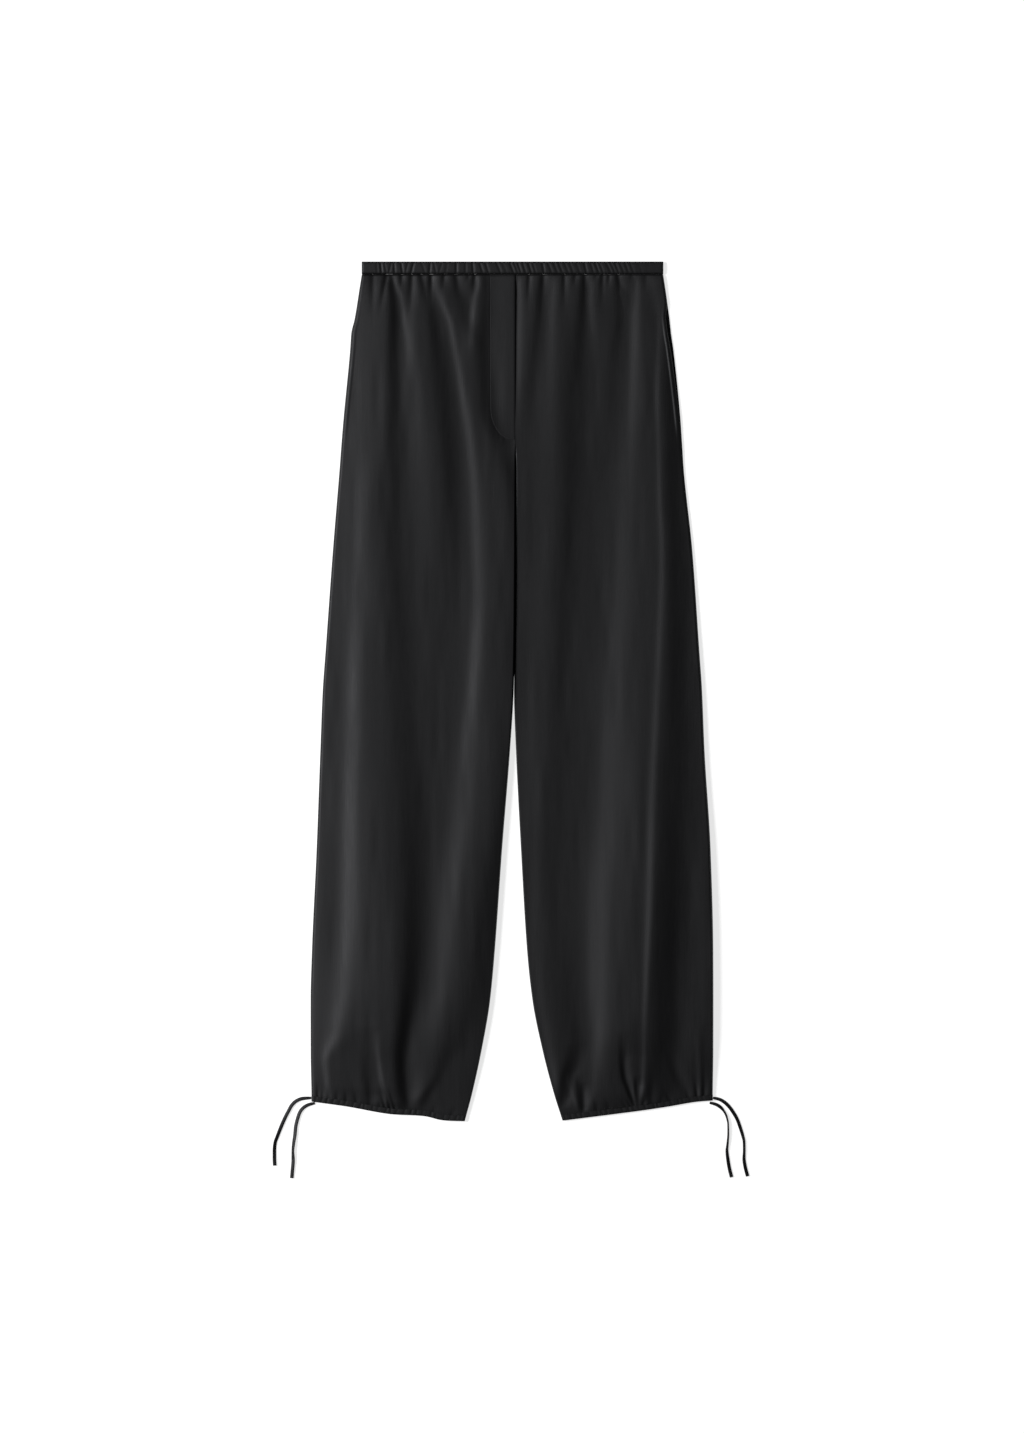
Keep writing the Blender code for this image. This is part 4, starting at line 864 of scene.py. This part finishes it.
def casing(node, place, ruches, depth, thick, floor=0.0, edge=0.5, level_top=False, back=False,
           columns=460, rows=15):
    """A ruched half tunnel. With s from 0 to 1 over its height, its pillow is the root of
    1 - |2 s - 1| ** 4, or 1 over its upper half where it runs on level from the cloth above. A
    ruche is a valley of depth times exp(-(distance across / width) ** 2).
    The back half is the same turned over, with its high part on the floor."""
    across, down = np.meshgrid(np.linspace(0, 1, columns), ease(np.linspace(0, 1, rows)))
    x, y, along = place(across, down)
    cut = np.zeros_like(x)
    for ruche in ruches:
        away = (along - ruche["x"] - ruche["lean"] * (down - 0.5)) / RUCHE_WIDTH
        cut = np.maximum(cut, ruche["depth"] * bell(away))
    from_middle = np.maximum(2 * down - 1, 0.0 if level_top else 1 - 2 * down)
    pillow = np.sqrt(np.maximum(0.0, 1 - from_middle ** 4))
    width = along.max() - along.min()
    ends = roll(np.minimum(across, 1 - across) * width, END_ROLL)
    swell = thick * blend(edge, 1.0, pillow) + depth * pillow * (1 - cut)
    swell = swell * blend(END_SHARE, 1.0, ends)
    top = thick + depth
    z = top - swell if back else floor + swell
    outer = np.stack([x, y, z], axis=-1)
    inner = np.stack([x, y, np.full_like(z, top if back else floor)], axis=-1)
    return cloth_piece(node, outer, inner)


# %% [markdown]
# ## The waistband
#
# On the photo's left the ruches stand upright or lean either way. From the middle on they all lean
# one way, as if the elastic had slipped in its casing, and towards the left side seam they fade. A
# ruche is its place, how far it leans over the band's height, and its depth as a share.

# %% Waistband
BAND_HEIGHT = WAIST_TOP - BAND_BOTTOM
BAND_RUCHES = table(
    "x lean depth",
    (-163, 1.2, 0.4), (-158, 1.2, 1), (-153, 3.6, 0.5), (-147, -3.6, 0.6), (-142, 1.2, 0.9),
    (-133, 2.4, 1), (-127, -3.6, 0.5), (-120, -3.6, 1), (-107, 4.8, 0.4), (-99, -1.2, 1),
    (-93, 3.6, 0.5), (-86, -4.8, 0.4), (-79, -2.4, 0.3), (-67, 0, 0.9), (-56, 0, 0.5),
    (-47, 1.2, 1), (-37, 4.8, 0.7), (-30, 4.8, 0.7), (-16, 6, 0.7), (-9, 6, 0.3), (0, 6, 0.9),
    (5, 6, 0.6), (9, 4.8, 0.9), (15, 4.8, 0.7), (22, 4.8, 0.8), (27, 4.8, 0.5), (38, 2.4, 0.8),
    (46, 6, 0.6), (53, 6, 0.6), (59, 6, 0.6), (66, 6, 0.5), (72, 6, 0.5), (80, 6, 0.4),
    (89, 3.6, 0.8), (97, 4.8, 0.6), (103, 6, 0.8), (108, 6, 0.6), (117, 7.3, 0.7), (122, 7.3, 0.6),
    (127, 6, 0.7), (133, 6, 0.5), (139, 6, 0.5), (145, 6, 0.4), (155, 4.8, 0.2),
)


def band_place(across, down):
    right, left = outline("right_side", BAND_BOTTOM), outline("left_side", BAND_BOTTOM)
    x = blend(right, left, across)
    return x, WAIST_TOP - BAND_HEIGHT * down, x


BAND_WIDTH = float(outline("left_side", BAND_BOTTOM) - outline("right_side", BAND_BOTTOM))
band_back_ruches = uneven_ruches(BAND_WIDTH, count=46, seed=42)
band_back_ruches["x"] -= BAND_WIDTH / 2
pieces["band_front"] = casing("waistband_front", band_place, BAND_RUCHES,
                              depth=0.6, thick=2.7, floor=band_low[2])
pieces["band_back"] = casing("waistband_back", band_place, band_back_ruches,
                             depth=0.5, thick=1.8, back=True)

# %% [markdown]
# ## The hem channels
#
# They are narrow, and they follow the hem, which rises a little from the inner seam to the side.

# %% Hem channels
CHANNEL_RUCHES = 24
CHANNEL_GRID = dict(columns=260, rows=11)
SEAM_CLOSED = 0.25


def channel_place(side):
    def place(across, down):
        up = (CHANNEL_HEIGHT + SEAM_CLOSED) * (1 - down)
        inner_y, outer_y = HEM_INNER_Y + up, HEM_OUTER_Y + up
        inner_x, outer_x = outline(side + "_inner", inner_y), outline(side + "_side", outer_y)
        x = blend(inner_x, outer_x, across)
        return x, blend(inner_y, outer_y, across) - hem_bow(side, across), np.abs(x - inner_x)
    return place


for number, side in enumerate(SIDES):
    front, back = f"{side}_hem_channel_front", f"{side}_hem_channel_back"
    place, floor = channel_place(side), frame_mm(front)[0][2]
    width = float(np.ptp(place(np.array([0.0, 1.0]), np.array([0.5, 0.5]))[2]))
    ruches = uneven_ruches(width, CHANNEL_RUCHES, seed=51 + number)
    pieces[front] = casing(front, place, ruches, depth=0.3, thick=2.8, floor=floor, edge=0.8,
                           level_top=True, **CHANNEL_GRID)
    pieces[back] = casing(back, place, ruches, depth=0.4, thick=1.7, back=True, **CHANNEL_GRID)

# %% [markdown]
# ## The fly
#
# The fly is a flat strip that hides the opening. Its free edge laps over the centre seam. Its other
# edge isn't an edge at all on the outside: it is a line of stitching that holds the facing below,
# straight down and then round to the seam. So the strip is thin along that line and sinks into it.

# %% Fly
FLY_SINK, FLY_SOFT = 0.15, 1.4
FLY_LIFT, FLY_LIFT_FADE, FLY_ROLL, FLY_ROLLED = 0.9, 60.0, 2.8, 0.7
FLY_ROWS, FLY_CROWD = 140, 1.4


def right_leg_top(x, y):
    """Height of the right front's cloth at places x, y, without its dip under the fly. The grid
    runs in u and v, so three rounds of working out one from the other find them."""
    u, v = np.zeros_like(x), (LEG_TOP - y) / INNER_LENGTH
    for _ in range(3):
        inner_x = outline("right_inner", LEG_TOP - v * INNER_LENGTH)
        outer_x = outline("right_side", LEG_TOP - v * SIDE_LENGTH)
        u = np.clip((x - inner_x) / (outer_x - inner_x), 0.0, 1.0)
        v = (LEG_TOP - y - hem_bow("right", u) * ease(v)) / blend(INNER_LENGTH, SIDE_LENGTH, u)
    return front_top("right", u, v, under_fly=False)[2]


def fly_top(x, y):
    """The fly lies as high as the leg would without its dip, a little less along the stitched line,
    and rises by FLY_LIFT towards its free edge."""
    sunk = FLY_SINK * (1 - ease((x - fly_edge(y)) / FLY_SOFT))
    risen = ease((x - FLY_LEFT) / (FLY_RIGHT - FLY_LEFT)) * ease((y - FLY_BOTTOM) / FLY_LIFT_FADE)
    return right_leg_top(x, y) - sunk + FLY_LIFT * risen


across, down = np.meshgrid(spaced((0.1, 8), (0.94, 16), (1.0, 5)), np.linspace(0, 1, FLY_ROWS))
y = LEG_TOP - (LEG_TOP - FLY_BOTTOM) * (1 - (1 - down) ** FLY_CROWD)
x = blend(fly_edge(y), FLY_RIGHT, across)
z = fly_top(x, y) - FLY_ROLLED * (1 - roll(FLY_RIGHT - x, FLY_ROLL))
outer = np.stack([x, y, z], axis=-1)
pieces["fly"] = cloth_piece("fly", outer, inside_of(outer))

# %% [markdown]
# ## Pocket facings
#
# Each side seam holds a pocket. Its mouth gapes a little on the wearer's left, and a strip of the
# facing shows there between the front's edge and the side.

# %% Pocket facings
FACING_ROLL, FACING_OVERLAP = 2.0, 0.05

across, down = np.meshgrid(np.linspace(0, 1, 12), np.linspace(0, 1, 60))
y = blend(POCKET_TOP, POCKET_BOTTOM, down)
z = WALL + SEAM_GAP + CLOTH * roll((1 - across) * FACING_WIDTH, FACING_ROLL)
for side, made in SIDES.items():
    x = outline(side + "_side", y) - made["sign"] * FACING_WIDTH * (1 - across)
    outer = np.stack([x, y, z], axis=-1)
    inner = outer.copy()
    inner[..., 2] = WALL + SEAM_GAP - FACING_OVERLAP
    pieces[side + "_facing"] = cloth_piece(side + "_pocket_facing", outer, inner)

# %% [markdown]
# ## Stitches
#
# A machine stitch is a short thread that dips into the cloth at both ends. One small spindle is
# worked out and laid along each sewn line. The fly has one line, and each leg has one just above its
# hem channel.

# %% Stitches
STITCH_LENGTH, STITCH_PITCH, STITCH_WIDTH, STITCH_START = 2.2, 2.9, 0.42, 0.4
STATIONS, RING = 5, 6
FLY_STITCHES_IN, HEM_STITCHES_UP = 1.4, 1.6


def stitches(name, x, y, z):
    """Spindles between points a pitch apart on a line. Each is a tube of RING points round, whose
    radius is the half width times the root of sin along its length."""
    distance = walked(x, y)
    starts = np.arange(STITCH_START, distance[-1] - STITCH_LENGTH, STITCH_PITCH)
    stations = np.linspace(0.02, 0.98, STATIONS)
    along = starts[:, None] + STITCH_LENGTH * stations
    px, py, pz = (np.interp(along, distance, values) for values in (x, y, z))
    heading = np.arctan2(py[:, -1] - py[:, 0], px[:, -1] - px[:, 0])[:, None, None]
    radius = 0.5 * STITCH_WIDTH * np.sqrt(np.sin(np.pi * stations))[None, :, None]
    angle = np.linspace(0, 2 * np.pi, RING, endpoint=False)
    rings = beside(px[..., None], py[..., None], pz[..., None], heading,
                   radius * np.cos(angle), radius * np.sin(angle))
    piece = make_object(name, *tubes(rings))
    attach(piece, ROOT)
    print(name, len(starts), "stitches")
    return piece


y = np.linspace(LEG_TOP - 1, FLY_BOTTOM + 1.5, 400)
x = fly_edge(y) + FLY_STITCHES_IN
x, y = x[x < FLY_RIGHT - 1], y[x < FLY_RIGHT - 1]
pieces["fly_stitches"] = stitches("fly_stitches", x, y, fly_top(x, y))

u = np.linspace(0.02, 0.98, 500)
v = np.full_like(u, 1 - HEM_STITCHES_UP / INNER_LENGTH)
for side in SIDES:
    pieces[side + "_hem_stitches"] = stitches(side + "_hem_stitches", *front_top(side, u, v))

# %% [markdown]
# ## Satin
#
# The cloth is a black, washed satin. It is nearly as dark as cloth gets, so most of what the eye
# sees is the sheen, which is broad and soft. Its threads are not all equally thick, which gives fine
# streaks down the leg, and the weave is a twill that can only be made out from close by. On the cloth
# all of it reads Object coordinates, so it is at real size everywhere and needs no UV map. On the ties
# the weave runs along the strip, so there it reads the strip's own UV map, in metres.

# %% Material
DARK, LIGHT = (0.0008, 0.0008, 0.0009), (0.0014, 0.0014, 0.0015)
STREAK_SHARE = 0.6
SHINE, SHINE_TINT = 0.145, (0.955, 0.96, 1.0, 1.0)


def fill(node, **values):
    """Sockets by name, linked where the value is another node's output. The rest are properties."""
    for name, value in values.items():
        socket = node.inputs.get(name.replace("_", " "))
        if isinstance(value, bpy.types.NodeSocket):
            node.id_data.links.new(value, socket)
        elif socket is not None:
            socket.default_value = value
        else:
            setattr(node, name, value)
    return node


def new_material(name):
    """A material with nodes, its tree and its shader."""
    material = bpy.data.materials.new(name)
    material.use_nodes = True
    return material, material.node_tree, material.node_tree.nodes["Principled BSDF"]


def satin(name, coordinates):
    """Base colour from dark to light by streaks along Y, a rough sheen, and a twill bump."""
    material, tree, shader = new_material(name)

    def add(kind, **values):
        return fill(tree.nodes.new("ShaderNode" + kind), **values)

    if coordinates == "along":
        where = add("UVMap", uv_map="along").outputs["UV"]
    else:
        where = add("TexCoord").outputs["Object"]

    def pattern(kind, scale, **values):
        mapping = add("Mapping", Vector=where, Scale=scale)
        return add(kind, Vector=mapping.outputs["Vector"], **values).outputs["Fac"]

    streaks = pattern("TexNoise", (900, 40, 40), Scale=1.0, Detail=3.0, Roughness=0.6)
    clouds = pattern("TexNoise", (22, 9, 9), Scale=1.0, Detail=2.0, Roughness=0.5)
    twill = pattern("TexWave", (1, 1, 0), Scale=900.0, Distortion=0.6, Detail=1.0, Detail_Scale=2.0,
                    bands_direction="DIAGONAL", wave_profile="SIN")

    mixed = add("Math", operation="MULTIPLY_ADD")
    tree.links.new(streaks, mixed.inputs[0])
    mixed.inputs[1].default_value = STREAK_SHARE
    tree.links.new(clouds, mixed.inputs[2])
    ramp = add("ValToRGB", Fac=mixed.outputs[0])
    first, last = ramp.color_ramp.elements
    first.position, first.color = 0.55, (*DARK, 1.0)
    last.position, last.color = 1.0, (*LIGHT, 1.0)
    rough = add("MapRange", Value=streaks, From_Min=0.3, From_Max=0.7, To_Min=0.52, To_Max=0.60)
    fine = add("Bump", Strength=0.35, Distance=0.00006, Height=twill)
    slubs = add("Bump", Strength=0.5, Distance=0.00012, Height=streaks, Normal=fine.outputs["Normal"])
    fill(shader, Base_Color=ramp.outputs["Color"], Roughness=rough.outputs["Result"],
         Normal=slubs.outputs["Normal"], Specular_IOR_Level=SHINE, Specular_Tint=SHINE_TINT)
    return material


cloth_satin = satin("black satin", "object")
strip_satin = satin("black satin strip", "along")
for piece in pieces.values():
    piece.data.materials.append(cloth_satin)
for piece in ties:
    piece.data.materials.append(strip_satin)
print("materials on", len(pieces) + len(ties), "pieces")

# %% [markdown]
# ## What each sheet was cut from
#
# A leg of this garment is cut in one front and one back. Each is about as wide as the laid leg and a
# little more, because the gathers take some of the width at both ends.

# %% [markdown]
# ## Floor and light
#
# The photo is a cut-out on white. A pale sheet of lit glass, as photographers lay small goods on,
# comes near to that: most of its brightness is its own glow, which washes out the shadow beside the
# cloth. One large soft light from the upper left and a weak sky light the cloth itself. Glow and
# light together come to just over white. A brighter floor would eat into the thin ties in the picture.

# %% Floor and lights
FLOOR_SIZE, FLOOR_BELOW = 14.0, 0.0002
FLOOR_SHADE, FLOOR_GLOW = 0.2, 0.75
WHITE = (1.0, 1.0, 1.0, 1.0)
SKY = 0.14
KEY_PLACE, KEY_SIZE, KEY_WATTS = Vector((-3.4, 0.6, 3.2)), 1.5, 650

floor_mesh = bpy.data.meshes.new("floor")
half = FLOOR_SIZE / 2
corners = [(-half, -half, 0), (half, -half, 0), (half, half, 0), (-half, half, 0)]
floor_mesh.from_pydata(corners, [], [(0, 1, 2, 3)])
floor = bpy.data.objects.new("floor", floor_mesh)
floor.location.z = -FLOOR_BELOW
bpy.context.scene.collection.objects.link(floor)
glass, _, glass_shader = new_material("lit frosted glass")
fill(glass_shader, Base_Color=(FLOOR_SHADE, FLOOR_SHADE, FLOOR_SHADE, 1.0), Roughness=0.9,
     Specular_IOR_Level=0.1, Emission_Color=WHITE, Emission_Strength=FLOOR_GLOW)
floor_mesh.materials.append(glass)

world = bpy.data.worlds.new("sky")
world.use_nodes = True
fill(world.node_tree.nodes["Background"], Color=WHITE, Strength=SKY)
bpy.context.scene.world = world

light = bpy.data.lights.new("key light", "AREA")
light.energy, light.size = KEY_WATTS, KEY_SIZE
lamp = bpy.data.objects.new("key light", light)
lamp.location = KEY_PLACE
lamp.rotation_euler = (-KEY_PLACE).to_track_quat("-Z", "Y").to_euler()
bpy.context.scene.collection.objects.link(lamp)
bpy.context.scene.view_settings.view_transform = "Standard"
